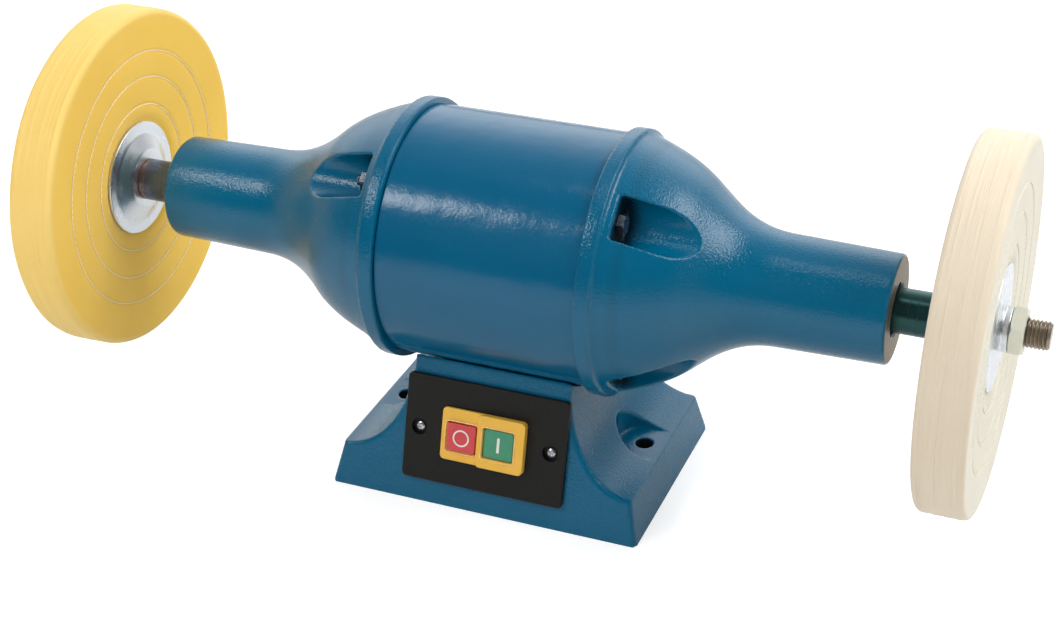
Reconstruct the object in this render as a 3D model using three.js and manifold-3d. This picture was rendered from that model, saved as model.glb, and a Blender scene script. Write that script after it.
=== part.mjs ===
// Double-ended bench polisher: a capacitor motor between two cast end bells with long arms,
// a cotton buff on each end of the spindle, and a hollow cast base that holds the switch.
// Millimetres, +Z up, +X along the spindle to the white buff, switch on the -Y side.
// The origin is the middle of the base's underside.

import * as THREE from 'three';
import { mergeVertices } from 'three/addons/utils/BufferGeometryUtils.js';
import Module from 'manifold-3d';

const wasm = await Module();
wasm.setup();

// Driving dimensions
const buffDiameter = 200;
const buffWidth = 21;
const spindleHeight = 138;
const armSpan = 419;
const buffReach = 42.8;
const tipReach = 36.2;
const tubeDiameter = 140;
const tubeLength = 114;
const tubeWall = 6;
const baseWidth = 183.6;
const baseDepth = 132;
const baseRimHeight = 24.4;
const neckWidth = 92.8;
const neckDrop = 56;
const rimDraft = 12.5;
const faceLean = 15;
const neckHeight = spindleHeight - neckDrop;

// Clearances and counts that many pieces share
const fit = 0.3;
const overrun = 4;
const largeSteps = 32;
const shaftSteps = 16;
const smallSteps = 16;
const boltSteps = 12;
const screwSteps = 8;
const hexSides = 6;
const mergeTolerance = 0.0001;

const degrees = THREE.MathUtils.degToRad;

// Finishes
function finish(color, roughness, metalness) {
  return new THREE.MeshStandardMaterial({ color, roughness, metalness });
}
const bluePaint = finish(0x0b5a86, 0.35, 0.1);
const blackPaint = finish(0x22262a, 0.5, 0.2);
const steel = finish(0x8b8d90, 0.4, 0.9);
const darkSteel = finish(0x3c3a38, 0.5, 0.8);
const zinc = finish(0xc4cad2, 0.3, 0.9);
const laminations = finish(0x6c6f74, 0.6, 0.7);
const copper = finish(0xb5683a, 0.5, 0.6);
const aluminium = finish(0xb9bcc0, 0.45, 0.8);
const blackPlastic = finish(0x262523, 0.6, 0);
const yellowPlastic = finish(0xe5b234, 0.45, 0);
const redPlastic = finish(0xcf4a55, 0.45, 0);
const greenPlastic = finish(0x4f9a76, 0.45, 0);
const whitePlastic = finish(0xe6e4dc, 0.5, 0);
const yellowCotton = finish(0xe9b94f, 0.95, 0);
const whiteCotton = finish(0xe8dfcd, 0.95, 0);

// Booleans and basic forms

// A closed geometry as a solid, with shared corners merged and empty faces left out.
function solid(geometry) {
  const bare = new THREE.BufferGeometry();
  bare.setAttribute('position', geometry.attributes.position);
  bare.setIndex(geometry.index);
  const merged = mergeVertices(bare, mergeTolerance);
  const triVerts = [];
  for (let i = 0; i < merged.index.count; i += 3) {
    const [a, b, c] = [0, 1, 2].map((k) => merged.index.getX(i + k));
    if (a !== b && b !== c && c !== a) triVerts.push(a, b, c);
  }
  return new wasm.Manifold(new wasm.Mesh({
    numProp: 3,
    vertProperties: new Float32Array(merged.attributes.position.array),
    triVerts: new Uint32Array(triVerts),
  }));
}

// A named mesh of a solid.
function piece(name, body, material) {
  const data = body.getMesh();
  const geometry = new THREE.BufferGeometry();
  geometry.setAttribute('position', new THREE.BufferAttribute(data.vertProperties, 3));
  geometry.setIndex(new THREE.BufferAttribute(data.triVerts, 1));
  geometry.computeVertexNormals();
  const mesh = new THREE.Mesh(geometry, material);
  mesh.name = name;
  return mesh;
}

// A closed outline of [along, radius] points turned about the X axis.
function turned(outline, steps) {
  const points = outline.map(([along, radius]) => new THREE.Vector2(radius, along));
  if (THREE.ShapeUtils.area(points) < 0) points.reverse();
  const [first] = points;
  points.push(first.clone());
  return new THREE.LatheGeometry(points, steps).rotateZ(degrees(-90));
}

// A plain rod along X, and the same standing along Z.
function rod(radius, start, end, steps) {
  return turned([[start, 0], [end, 0], [end, radius], [start, radius]], steps);
}
function post(radius, low, high, steps) {
  return rod(radius, low, high, steps).rotateY(degrees(-90));
}

// A six-sided prism along X.
function hexagon(acrossFlats, start, end) {
  return rod(acrossFlats / Math.sqrt(3), start, end, hexSides);
}

// A box between two corners.
function block(low, high) {
  const size = high.map((value, k) => value - low[k]);
  const middle = high.map((value, k) => (value + low[k]) / 2);
  return new THREE.BoxGeometry(...size).translate(...middle);
}

// A rounded rectangle of points at one height, counter-clockwise from above.
function roundedRing(halfWidth, halfDepth, radius, height, cornerSteps) {
  const ring = [];
  for (let corner = 0; corner < 4; corner += 1) {
    const signX = corner === 0 || corner === 3 ? 1 : -1;
    const signY = corner < 2 ? 1 : -1;
    for (let i = 0; i <= cornerSteps; i += 1) {
      const angle = degrees(90 * (corner + i / cornerSteps));
      ring.push(new THREE.Vector3(
        signX * (halfWidth - radius) + radius * Math.cos(angle),
        signY * (halfDepth - radius) + radius * Math.sin(angle),
        height,
      ));
    }
  }
  return ring;
}

// A skin through rings of equal length, lowest first, closed by a flat fan at each end.
function loft(rings) {
  const count = rings[0].length;
  const index = [];
  for (let level = 0; level < rings.length - 1; level += 1) {
    for (let i = 0; i < count; i += 1) {
      const a = level * count + i;
      const b = level * count + ((i + 1) % count);
      index.push(a, b, b + count, a, b + count, a + count);
    }
  }
  const top = (rings.length - 1) * count;
  for (let i = 1; i < count - 1; i += 1) {
    index.push(0, i + 1, i);
    index.push(top, top + i, top + i + 1);
  }
  const geometry = new THREE.BufferGeometry().setFromPoints(rings.flat());
  geometry.setIndex(index);
  return geometry;
}

// A rounded slab: a loft of two or three equal rounded rectangles about its own middle.
function slab(width, height, radius, start, end, bevel, cornerSteps) {
  const rings = [roundedRing(width / 2, height / 2, radius, start, cornerSteps)];
  rings.push(roundedRing(width / 2, height / 2, radius, end - bevel, cornerSteps));
  if (bevel > 0) {
    const inner = roundedRing(width / 2 - bevel, height / 2 - bevel, radius - bevel / 2, end, cornerSteps);
    rings.push(inner);
  }
  return loft(rings);
}

// A flat outline with a depth behind it. Arcs come out with two faces for each curve segment.
function extruded(section, depth, arcSteps) {
  return new THREE.ExtrudeGeometry(section, { depth, bevelEnabled: false, curveSegments: arcSteps / 2 });
}

// The same pushed along X, the outline's x along Y and its y along Z.
function pushed(section, start, end, arcSteps) {
  const geometry = extruded(section, end - start, arcSteps).rotateX(degrees(90)).rotateZ(degrees(90));
  return geometry.translate(start, 0, 0);
}

// An outline with a half-round floor about the origin and straight sides that run up from it.
function troughOutline(radius, height) {
  const section = new THREE.Shape();
  section.moveTo(-radius, height);
  section.lineTo(-radius, 0);
  section.absarc(0, 0, radius, degrees(180), degrees(360), false);
  section.lineTo(radius, height);
  section.closePath();
  return section;
}

// A round tube along a smooth curve through points.
function lead(points, radius, steps, sides) {
  const section = new THREE.Shape();
  for (let i = 0; i < sides; i += 1) {
    const angle = degrees((360 * i) / sides);
    const [x, y] = [radius * Math.cos(angle), radius * Math.sin(angle)];
    if (i === 0) section.moveTo(x, y);
    else section.lineTo(x, y);
  }
  section.closePath();
  const extrudePath = new THREE.CatmullRomCurve3(points.map((p) => new THREE.Vector3(...p)));
  return new THREE.ExtrudeGeometry(section, { steps, extrudePath });
}

// Motor tube, tie bolts and spindle sizes that several pieces follow
const tubeRadius = tubeDiameter / 2;
const tubeBore = tubeRadius - tubeWall;
const tubeEnd = tubeLength / 2;
const armEnd = armSpan / 2;
const buffMiddle = armEnd + buffReach;
const spindleEnd = buffMiddle + tipReach;

const tieBoltRadius = 3;
const tieBoltInset = 5.5;
const tieBoltAngle = 42;
const tieBoltOrbit = tubeBore - tieBoltInset;
const tieBoltAngles = [tieBoltAngle, 180 - tieBoltAngle, 180 + tieBoltAngle, 360 - tieBoltAngle];
const tieHeadFlats = 10;
const tieHeadHeight = 4;
const tieNutHeight = 5;
const tieThreadOver = 2.5;

const journalDiameter = 25;
const neckDiameter = 24.2;
const threadDiameter = 15.8;
const shaftDiameter = 30;
const journalRadius = journalDiameter / 2;
const neckRadius = neckDiameter / 2;
const threadRadius = threadDiameter / 2;
const shaftRadius = shaftDiameter / 2;

const bearingDiameter = 47;
const bearingWidth = 12;
const bearingRadius = bearingDiameter / 2;
const endWall = 6;
const bearingOut = armEnd - endWall - fit;
const bearingIn = bearingOut - bearingWidth;

// A geometry built on the X axis, moved out to the tie bolts' circle at one bolt's angle.
function atTieBolt(geometry, angle) {
  return geometry.translate(0, 0, tieBoltOrbit).rotateX(degrees(angle));
}

// Motor housing: a plain tube, drilled below for the saddle bolts and the motor leads
const saddleBoltSpread = 44;
const saddleBoltRadius = 3;
const leadHoleRadius = 4.5;
const leadHoleX = 36;

function motorHousing() {
  const end = tubeEnd - fit;
  let body = solid(turned([
    [-end, tubeBore], [-end, tubeRadius], [end, tubeRadius], [end, tubeBore],
  ], largeSteps));
  const low = -tubeRadius - overrun;
  const high = -tubeBore + overrun;
  for (const side of [-1, 1]) {
    const hole = post(saddleBoltRadius + fit, low, high, screwSteps);
    body = body.subtract(solid(hole.translate((side * saddleBoltSpread) / 2, 0, 0)));
  }
  return body.subtract(solid(post(leadHoleRadius, low, high, boltSteps).translate(leadHoleX, 0, 0)));
}

// End bell: a raised rim at the tube, a shoulder that sweeps down to the long bearing arm,
// four scooped pockets for the tie bolts, a spigot in the tube, and a seat for the bearing
const rimStep = 3.5;
const rimWidth = 8.5;
const rimShoulder = 2.3;
const armRoot = 150;
const armRootDiameter = 61;
const armEndDiameter = 58.8;
const armChamfer = 1;
const bellWall = 6;
const spigotLength = 6;
const spigotWall = 3.7;
const armBoreOver = 1.5;
const seatRunIn = 2;
const throatGap = 2.3;
const washerSpace = 2;
const pocketRadius = 12.5;
const pocketWall = 4.5;
const pocketSeat = 13;
const boltBossRadius = 8;
const pocketSteps = 8;
const pocketBackSteps = 6;
const bellCurveSteps = 3;
const rimRadius = tubeRadius + rimStep;
const spigotRadius = tubeBore - fit;
const cavityRadius = spigotRadius - spigotWall;
const armBore = bearingRadius + armBoreOver;
const throatRadius = neckRadius + throatGap;
const boltSeat = tubeEnd + pocketSeat;

// The shoulder's curve, as shares of its length along the spindle and of its drop in radius
const shoulderCurveShares = [
  [[0, 0], [0.16, 0.12], [0.337, 0.238], [0.479, 0.496]],
  [[0.479, 0.496], [0.621, 0.754], [0.763, 0.988], [1, 1]],
];

function bellShoulder() {
  const startX = tubeEnd + rimWidth;
  const startRadius = rimRadius - rimShoulder;
  const endRadius = armRootDiameter / 2;
  const points = [];
  for (const curve of shoulderCurveShares) {
    const corners = curve.map(([along, drop]) => new THREE.Vector2(
      startX + along * (armRoot - startX),
      startRadius + drop * (endRadius - startRadius),
    ));
    const stretch = new THREE.CubicBezierCurve(...corners).getPoints(bellCurveSteps);
    for (const point of stretch.slice(points.length ? 1 : 0)) points.push([point.x, point.y]);
  }
  return points;
}

function bellOutside() {
  const armEndRadius = armEndDiameter / 2;
  return solid(turned([
    [tubeEnd - spigotLength, 0], [tubeEnd - spigotLength, spigotRadius], [tubeEnd, spigotRadius],
    [tubeEnd, rimRadius], [tubeEnd + rimWidth, rimRadius], ...bellShoulder(),
    [armEnd - armChamfer, armEndRadius], [armEnd, armEndRadius - armChamfer], [armEnd, 0],
  ], largeSteps));
}

function bellInside(wallFace) {
  const seat = bearingRadius + fit;
  const inner = bellShoulder().map(([along, radius]) => (
    [along, Math.min(cavityRadius, Math.max(armBore, radius - bellWall))]
  ));
  return solid(turned([
    [tubeEnd - spigotLength - overrun, 0], [tubeEnd - spigotLength - overrun, cavityRadius],
    ...inner,
    [bearingIn - seatRunIn, armBore], [bearingIn - seatRunIn, seat],
    [wallFace, seat], [wallFace, throatRadius],
    [armEnd + overrun, throatRadius], [armEnd + overrun, 0],
  ], smallSteps));
}

// A trough for one tie bolt's head or nut: open outwards, round floored, and run out at the arm.
function boltTrough(radius, start, angle, steps) {
  return solid(atTieBolt(pushed(troughOutline(radius, rimRadius), start, armRoot, steps), angle));
}

function endBell(wallFace) {
  const bossEnd = tubeEnd - spigotLength;
  let hollow = bellInside(wallFace);
  let body = bellOutside();
  for (const angle of tieBoltAngles) {
    const boss = rod(boltBossRadius, bossEnd, boltSeat, screwSteps);
    const back = boltTrough(pocketRadius + pocketWall, boltSeat - pocketWall, angle, pocketBackSteps);
    hollow = hollow.subtract(solid(atTieBolt(boss, angle))).subtract(back);
  }
  body = body.subtract(hollow);
  for (const angle of tieBoltAngles) {
    const hole = rod(tieBoltRadius + fit, bossEnd - overrun, boltSeat + overrun, screwSteps);
    body = body.subtract(boltTrough(pocketRadius, boltSeat, angle, pocketSteps));
    body = body.subtract(solid(atTieBolt(hole, angle)));
  }
  return body;
}

// Tie bolts run from the white buff's side through both bells, with a nut at the far end
function tieBolt() {
  const headStart = boltSeat + fit;
  const end = -boltSeat - fit - tieNutHeight - tieThreadOver;
  const head = hexagon(tieHeadFlats, headStart, headStart + tieHeadHeight);
  return solid(head).add(solid(rod(tieBoltRadius, end, headStart + tieHeadHeight / 2, screwSteps)));
}

function tieNut() {
  const start = -boltSeat - fit - tieNutHeight;
  const nut = hexagon(tieHeadFlats, start, start + tieNutHeight);
  const bore = rod(tieBoltRadius + fit, start - overrun, start + tieNutHeight + overrun, screwSteps);
  return solid(nut).subtract(solid(bore));
}

// Stator: a slotted stack pressed in the tube, with a wound ring of end turns on each face
const stackLength = 60;
const rotorDiameter = 73;
const airGap = 0.8;
const backIron = 12;
const slotCount = 16;
const slotMouthShare = 0.35;
const slotFloorShare = 0.6;
const windingLength = 17;
const windingLift = 3;
const windingBoltGap = 1;
const windingRound = 4;
const windingRadius = tieBoltOrbit - tieBoltRadius - windingBoltGap;
const rotorRadius = rotorDiameter / 2;
const statorBore = rotorRadius + airGap;
const stackEnd = stackLength / 2;

function statorCore() {
  const outer = tubeBore - fit;
  const slotFloor = outer - backIron;
  const section = new THREE.Shape();
  section.absarc(0, 0, outer, 0, degrees(360), false);
  const pitch = 360 / slotCount;
  const mouth = (pitch * slotMouthShare) / 2;
  const floor = (pitch * slotFloorShare) / 2;
  const corners = [];
  for (let slot = 0; slot < slotCount; slot += 1) {
    const middle = slot * pitch;
    corners.push([statorBore, middle - mouth], [slotFloor, middle - floor]);
    corners.push([slotFloor, middle + floor], [statorBore, middle + mouth]);
  }
  section.holes.push(new THREE.Path(corners.map(([radius, angle]) => new THREE.Vector2(
    radius * Math.cos(degrees(angle)),
    radius * Math.sin(degrees(angle)),
  ))));
  let body = solid(pushed(section, -stackEnd, stackEnd, largeSteps));
  for (const angle of tieBoltAngles) {
    const hole = rod(tieBoltRadius + fit, -stackEnd - overrun, stackEnd + overrun, screwSteps);
    body = body.subtract(solid(atTieBolt(hole, angle)));
  }
  return body;
}

function windingEnd() {
  const inner = statorBore + windingLift;
  const start = stackEnd + fit;
  const end = start + windingLength;
  return solid(turned([
    [start, inner], [start, windingRadius], [end - windingRound, windingRadius],
    [end, windingRadius - windingRound], [end, inner],
  ], smallSteps));
}

// Rotor: a plain stack on the shaft, with a cast short-circuit ring at each face
const cageRingLength = 8;
const cageRingInset = 2;
const cageRingBore = 23;

function rotorCore() {
  const bore = shaftRadius + fit;
  return solid(turned([
    [-stackEnd, bore], [-stackEnd, rotorRadius], [stackEnd, rotorRadius], [stackEnd, bore],
  ], smallSteps));
}

function rotorEndRing() {
  const start = stackEnd + fit;
  const outer = rotorRadius - cageRingInset;
  return solid(turned([
    [start, cageRingBore], [start, outer], [start + cageRingLength, outer - cageRingInset],
    [start + cageRingLength, cageRingBore],
  ], smallSteps));
}

// Flanges and nuts that clamp a buff against the spindle's shoulder
const clampWidth = 16;
const flangeDiameter = 67.3;
const flangeSheet = 2.2;
const flangeDish = 4.6;
const flangeRimBore = 52;
const flangeHubDiameter = 33;
const flangeBend = 1;
const flangeSteps = 18;
const outerDish = 1.4;
const bossLength = 7.5;
const bossDiameter = 23.6;
const nutFlats = 24;
const nutHeight = 7.2;
const flangeRadius = flangeDiameter / 2;
const flangeBore = threadRadius + fit;
const clampNear = buffMiddle - clampWidth / 2 - fit;
const clampFar = buffMiddle + clampWidth / 2 + fit;
const shoulder = clampNear - flangeDish - flangeSheet - fit;
const nutStart = clampFar + bossLength + fit;

function innerFlange() {
  const rim = flangeRimBore / 2;
  const hub = flangeHubDiameter / 2;
  const outline = [
    [0, flangeRadius], [0, rim], [flangeDish, hub], [flangeDish, flangeBore],
    [flangeDish + flangeSheet, flangeBore], [flangeDish + flangeSheet, hub + flangeBend],
    [flangeSheet, rim + flangeBend], [flangeSheet, flangeRadius],
  ];
  return solid(turned(outline.map(([out, radius]) => [clampNear - out, radius]), flangeSteps));
}

function outerFlange() {
  const rim = flangeRimBore / 2;
  const hub = flangeHubDiameter / 2;
  const boss = bossDiameter / 2;
  const outline = [
    [0, flangeRadius], [0, rim], [outerDish, hub], [outerDish, flangeBore],
    [bossLength, flangeBore], [bossLength, boss], [outerDish + flangeSheet, boss],
    [outerDish + flangeSheet, hub + flangeBend], [flangeSheet, rim + flangeBend], [flangeSheet, flangeRadius],
  ];
  return solid(turned(outline.map(([out, radius]) => [clampFar + out, radius]), flangeSteps));
}

function wheelNut() {
  const end = nutStart + nutHeight;
  const corner = nutFlats / Math.sqrt(3);
  const bevel = corner - nutFlats / 2;
  const cone = turned([
    [nutStart, 0], [nutStart, corner - bevel], [nutStart + bevel / 2, corner],
    [end - bevel / 2, corner], [end, corner - bevel], [end, 0],
  ], boltSteps);
  const bore = rod(flangeBore, nutStart - overrun, end + overrun, boltSteps);
  return solid(hexagon(nutFlats, nutStart, end)).intersect(solid(cone)).subtract(solid(bore));
}

// Spindle: one shaft from end to end, stepped down to the journals, necks and threaded ends
const neckStart = 4;
const tipChamfer = 1.8;

function spindleShaft() {
  const seat = bearingIn - fit;
  const neck = bearingOut + neckStart;
  const half = [
    [seat, shaftRadius], [seat, journalRadius], [neck, journalRadius], [neck, neckRadius],
    [shoulder, neckRadius], [shoulder, threadRadius], [spindleEnd - tipChamfer, threadRadius],
    [spindleEnd, threadRadius - tipChamfer], [spindleEnd, 0],
  ];
  const mirrored = half.map(([along, radius]) => [-along, radius]).reverse();
  return solid(turned([...mirrored, ...half], shaftSteps));
}

// Ball bearings: grooved inner and outer rings, and a cage that carries the balls
const ringWall = 2.8;
const grooveDepth = 0.9;
const ballPlay = 0.45;
const ballCount = 7;
const cageWall = 1.4;
const cageWidth = 2.4;
const grooveMouthShare = 0.85;
const innerRingBore = journalRadius + fit;
const innerGroove = innerRingBore + ringWall - grooveDepth;
const outerGroove = bearingRadius - ringWall + grooveDepth;
const ballRadius = (outerGroove - innerGroove) / 2 - ballPlay;
const ballOrbit = (outerGroove + innerGroove) / 2;
const bearingMiddle = (bearingIn + bearingOut) / 2;

function bearingRing(plain, shoulderRadius, groove) {
  const mouth = ballRadius * grooveMouthShare;
  return solid(turned([
    [bearingIn, plain], [bearingIn, shoulderRadius], [bearingMiddle - mouth, shoulderRadius],
    [bearingMiddle, groove], [bearingMiddle + mouth, shoulderRadius],
    [bearingOut, shoulderRadius], [bearingOut, plain],
  ], smallSteps));
}

function ballCage() {
  const inner = ballOrbit - cageWall / 2;
  const outer = ballOrbit + cageWall / 2;
  const start = bearingMiddle - cageWidth / 2;
  const end = bearingMiddle + cageWidth / 2;
  let body = solid(turned([[start, inner], [start, outer], [end, outer], [end, inner]], smallSteps));
  for (let i = 0; i < ballCount; i += 1) {
    const ball = new THREE.IcosahedronGeometry(ballRadius).translate(bearingMiddle, 0, ballOrbit);
    body = body.add(solid(ball.rotateX(degrees((360 * i) / ballCount))));
  }
  return body;
}

// Wave washer: a thin spring ring that loads the left bearing against its seat
const washerSheet = 0.5;
const washerInset = 0.4;
const washerWall = 4;
const washerWaves = 3;
const washerSteps = 18;

function waveWasher() {
  const outer = bearingRadius - washerInset;
  const inner = outer - washerWall;
  const space = washerSpace + fit;
  const middle = bearingOut + space / 2;
  const swing = (space - washerSheet) / 2 - fit;
  const rings = [];
  for (let i = 0; i < washerSteps; i += 1) {
    const angle = degrees((360 * i) / washerSteps);
    const along = middle + swing * Math.cos(washerWaves * angle);
    const corners = [[-1, inner], [-1, outer], [1, outer], [1, inner]];
    rings.push(corners.map(([side, radius]) => new THREE.Vector3(
      along + (side * washerSheet) / 2,
      -radius * Math.sin(angle),
      radius * Math.cos(angle),
    )));
  }
  const index = [];
  for (let i = 0; i < washerSteps; i += 1) {
    for (let k = 0; k < 4; k += 1) {
      const a = i * 4 + k;
      const b = i * 4 + ((k + 1) % 4);
      const c = ((i + 1) % washerSteps) * 4 + k;
      const d = ((i + 1) % washerSteps) * 4 + ((k + 1) % 4);
      index.push(a, d, b, a, c, d);
    }
  }
  const geometry = new THREE.BufferGeometry().setFromPoints(rings.flat());
  geometry.setIndex(index);
  return solid(geometry);
}

// Buffs: stitched cotton discs, pinched by the flanges, grooved at each row of stitches,
// that spread evenly towards a loose outer rim
const buffRimWidth = 27;
const buffRound = 3.4;
const buffRimGap = 9;
const buffSteps = 28;
const stitchDiameters = [87.6, 120.3, 151];
const stitchDepth = 0.9;
const flangeNest = 1.6;

// Half a buff's width at a radius, from the flange out to the rim.
function buffHalf(radius) {
  const share = (radius - flangeRadius) / (buffDiameter / 2 - buffRound - flangeRadius);
  return (buffWidth + share * (buffRimWidth - buffWidth)) / 2;
}

function buff() {
  const outer = buffDiameter / 2;
  const nest = flangeRadius + fit + flangeNest;
  const rim = buffRimWidth / 2;
  const side = [[clampWidth / 2, flangeBore], [clampWidth / 2, flangeRadius + fit], [buffHalf(nest), nest]];
  stitchDiameters.forEach((diameter, i) => {
    const next = i < stitchDiameters.length - 1 ? stitchDiameters[i + 1] : diameter + 2 * buffRimGap;
    side.push([buffHalf(diameter / 2) - stitchDepth, diameter / 2]);
    side.push([buffHalf((diameter + next) / 4), (diameter + next) / 4]);
  });
  side.push([rim, outer - buffRound], [rim - buffRound, outer]);
  const mirrored = side.map(([along, radius]) => [-along, radius]).reverse();
  const outline = [...side, ...mirrored].map(([along, radius]) => [buffMiddle + along, radius]);
  return solid(turned(outline, buffSteps));
}

// Base casting: a hollow block whose sides sweep up from a drafted rim to a narrow neck,
// with leaning front and back faces, a saddle for the motor and a bolt hole at each side
const baseWall = 5;
const baseCorner = 2.4;
const sweepSteps = 8;
const baseCornerSteps = 1;
const saddleGap = 1.2;
const saddleDeck = 6;
const saddleLandLength = 76;
const saddleLandWidth = 40;
const saddleLandRise = 8;
const footHoleInset = 17.8;
const footHoleRadius = 5;
const footSteps = 12;
const footBossRadius = 9;
const spotFaceRadius = 16;
const spotFaceLift = 0.1;
const coverSheet = 2;
const coverLift = 3;
const pillarRadius = 4.5;
const pillarInsetX = 13.8;
const pillarInsetY = 16;
const coverScrewRadius = 1.75;
const coverScrewLength = 11;
const coverTop = coverLift + coverSheet;
const rimTopHalf = baseWidth / 2 - baseRimHeight * Math.tan(degrees(rimDraft));
const sweepAcross = rimTopHalf - neckWidth / 2;
const sweepUp = neckHeight - baseRimHeight;
const spotFaceHeight = baseRimHeight + spotFaceLift;
const saddleRadius = tubeRadius + saddleGap;
const deckRadius = saddleRadius + saddleDeck;
const footHoleSpread = baseWidth - 2 * footHoleInset;
const pillarSpreadX = baseWidth - 2 * pillarInsetX;
const pillarSpreadY = baseDepth - 2 * pillarInsetY;

// Half the width and half the depth of the base at a height, drawn in by a wall.
function baseHalfWidth(height, wall) {
  const rim = baseWidth / 2 - height * Math.tan(degrees(rimDraft)) - wall;
  const share = (neckHeight - height) / (sweepUp + wall);
  if (share >= 1) return rim;
  const sweep = rimTopHalf - (sweepAcross + wall) * Math.sqrt(1 - Math.max(share, 0) ** 2);
  return Math.min(rim, sweep);
}
function baseHalfDepth(height, wall) {
  return baseDepth / 2 - height * Math.tan(degrees(faceLean)) - wall;
}

function baseLoft(bottom, wall) {
  const heights = [bottom];
  for (let i = 0; i <= sweepSteps; i += 1) {
    heights.push(neckHeight - (sweepUp + wall) * Math.cos(degrees((90 * i) / sweepSteps)));
  }
  heights.push(neckHeight + tubeWall + overrun);
  return loft(heights.map((height) => roundedRing(
    baseHalfWidth(height, wall),
    baseHalfDepth(height, wall),
    baseCorner,
    height,
    baseCornerSteps,
  )));
}

// A pocket with a half-round end that opens outwards through one side of the base.
function sidePocket(radius, low, side) {
  const outline = troughOutline(radius, baseWidth / 2);
  const pocket = extruded(outline, neckHeight, footSteps).rotateZ(degrees(-90));
  pocket.translate(footHoleSpread / 2, 0, low);
  return solid(side > 0 ? pocket : pocket.rotateZ(degrees(180)));
}

function saddleCylinder(radius) {
  return solid(rod(radius, -baseWidth, baseWidth, largeSteps).translate(0, 0, spindleHeight));
}

// The front face's own frame: X across, Y up the slope, Z straight out of it.
const faceFrame = new THREE.Matrix4().makeRotationX(degrees(90 - faceLean));
faceFrame.setPosition(0, -baseDepth / 2, 0);
const backFrame = new THREE.Matrix4().makeRotationZ(degrees(180)).multiply(faceFrame);

// Switch plate sizes that the casting's cut-outs follow
const plateWidth = 96;
const plateHeadroom = 20.7;
const plateSheet = 3.2;
const plateFoot = 14.3;
const plateScrewSpread = 78.2;
const plateScrewRadius = 1.6;
const plateScrewLength = 9;
const switchWidth = 44;
const switchHeight = 26.4;
const switchDepth = 30;
const switchHoleGap = 0.7;
const plateHeight = neckHeight - plateHeadroom;
const plateMiddle = plateFoot + plateHeight / 2;

// Cable gland sizes that the casting's hole follows
const glandInset = 16.34;
const glandUp = 30;
const glandThread = 8;
const glandBore = 5;
const glandHexFlats = 21;
const glandHexHeight = 5;
const glandDome = 12;
const glandDomeRadius = 9.6;
const glandStub = 11;
const glandLocknutHeight = 4;
const glandX = baseHalfWidth(glandUp, baseWall) - glandInset;

function baseCasting() {
  let hollow = solid(baseLoft(-overrun, baseWall)).subtract(saddleCylinder(deckRadius));
  let outside = solid(baseLoft(0, 0)).subtract(saddleCylinder(saddleRadius));
  for (const side of [-1, 1]) {
    hollow = hollow.subtract(sidePocket(spotFaceRadius + baseWall, spotFaceHeight - baseWall, side));
    const boss = post(footBossRadius, 0, spotFaceHeight, footSteps);
    hollow = hollow.subtract(solid(boss.translate((side * footHoleSpread) / 2, 0, 0)));
    for (const depth of [-1, 1]) {
      const pillar = post(pillarRadius, coverTop + fit, baseRimHeight, screwSteps);
      pillar.translate((side * pillarSpreadX) / 2, (depth * pillarSpreadY) / 2, 0);
      hollow = hollow.subtract(solid(pillar));
    }
    outside = outside.subtract(sidePocket(spotFaceRadius, spotFaceHeight, side));
  }
  const landLow = spindleHeight - saddleRadius - saddleDeck / 2;
  const landHigh = spindleHeight - tubeRadius + saddleLandRise;
  const land = solid(block(
    [-saddleLandLength / 2, -saddleLandWidth / 2, landLow],
    [saddleLandLength / 2, saddleLandWidth / 2, landHigh],
  )).subtract(saddleCylinder(tubeRadius + fit));
  return cutBaseHoles(outside.subtract(hollow).add(land));
}

function cutBaseHoles(casting) {
  let body = casting;
  const deckLow = spindleHeight - deckRadius - overrun;
  const deckHigh = spindleHeight - tubeRadius + overrun;
  for (const side of [-1, 1]) {
    const foot = post(footHoleRadius, -overrun, spotFaceHeight + overrun, footSteps);
    body = body.subtract(solid(foot.translate((side * footHoleSpread) / 2, 0, 0)));
    const saddleHole = post(saddleBoltRadius + fit, deckLow, deckHigh, screwSteps);
    body = body.subtract(solid(saddleHole.translate((side * saddleBoltSpread) / 2, 0, 0)));
    const plateHole = post(plateScrewRadius + fit, -plateScrewLength - overrun, overrun, screwSteps);
    const place = [(side * plateScrewSpread) / 2, plateMiddle, 0];
    body = body.subtract(solid(plateHole.translate(...place).applyMatrix4(faceFrame)));
    for (const depth of [-1, 1]) {
      const high = coverLift + coverScrewLength + fit;
      const hole = post(coverScrewRadius + fit, -overrun, high, screwSteps);
      body = body.subtract(solid(hole.translate((side * pillarSpreadX) / 2, (depth * pillarSpreadY) / 2, 0)));
    }
  }
  body = body.subtract(solid(post(leadHoleRadius, deckLow, deckHigh, boltSteps).translate(leadHoleX, 0, 0)));
  const opening = block(
    [-switchWidth / 2 - switchHoleGap, plateMiddle - switchHeight / 2 - switchHoleGap, -baseWall - overrun],
    [switchWidth / 2 + switchHoleGap, plateMiddle + switchHeight / 2 + switchHoleGap, overrun],
  );
  body = body.subtract(solid(opening.applyMatrix4(faceFrame)));
  const glandHole = post(glandThread + fit, -baseWall - overrun, overrun, boltSteps);
  return body.subtract(solid(glandHole.translate(-glandX, glandUp, 0).applyMatrix4(backFrame)));
}

// Base cover: a sheet that closes the base from below, on four screws
const coverGap = 0.5;
const coverHoleGap = 0.4;
const coverHeadRadius = 3.5;
const coverHeadHeight = 2.2;

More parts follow.
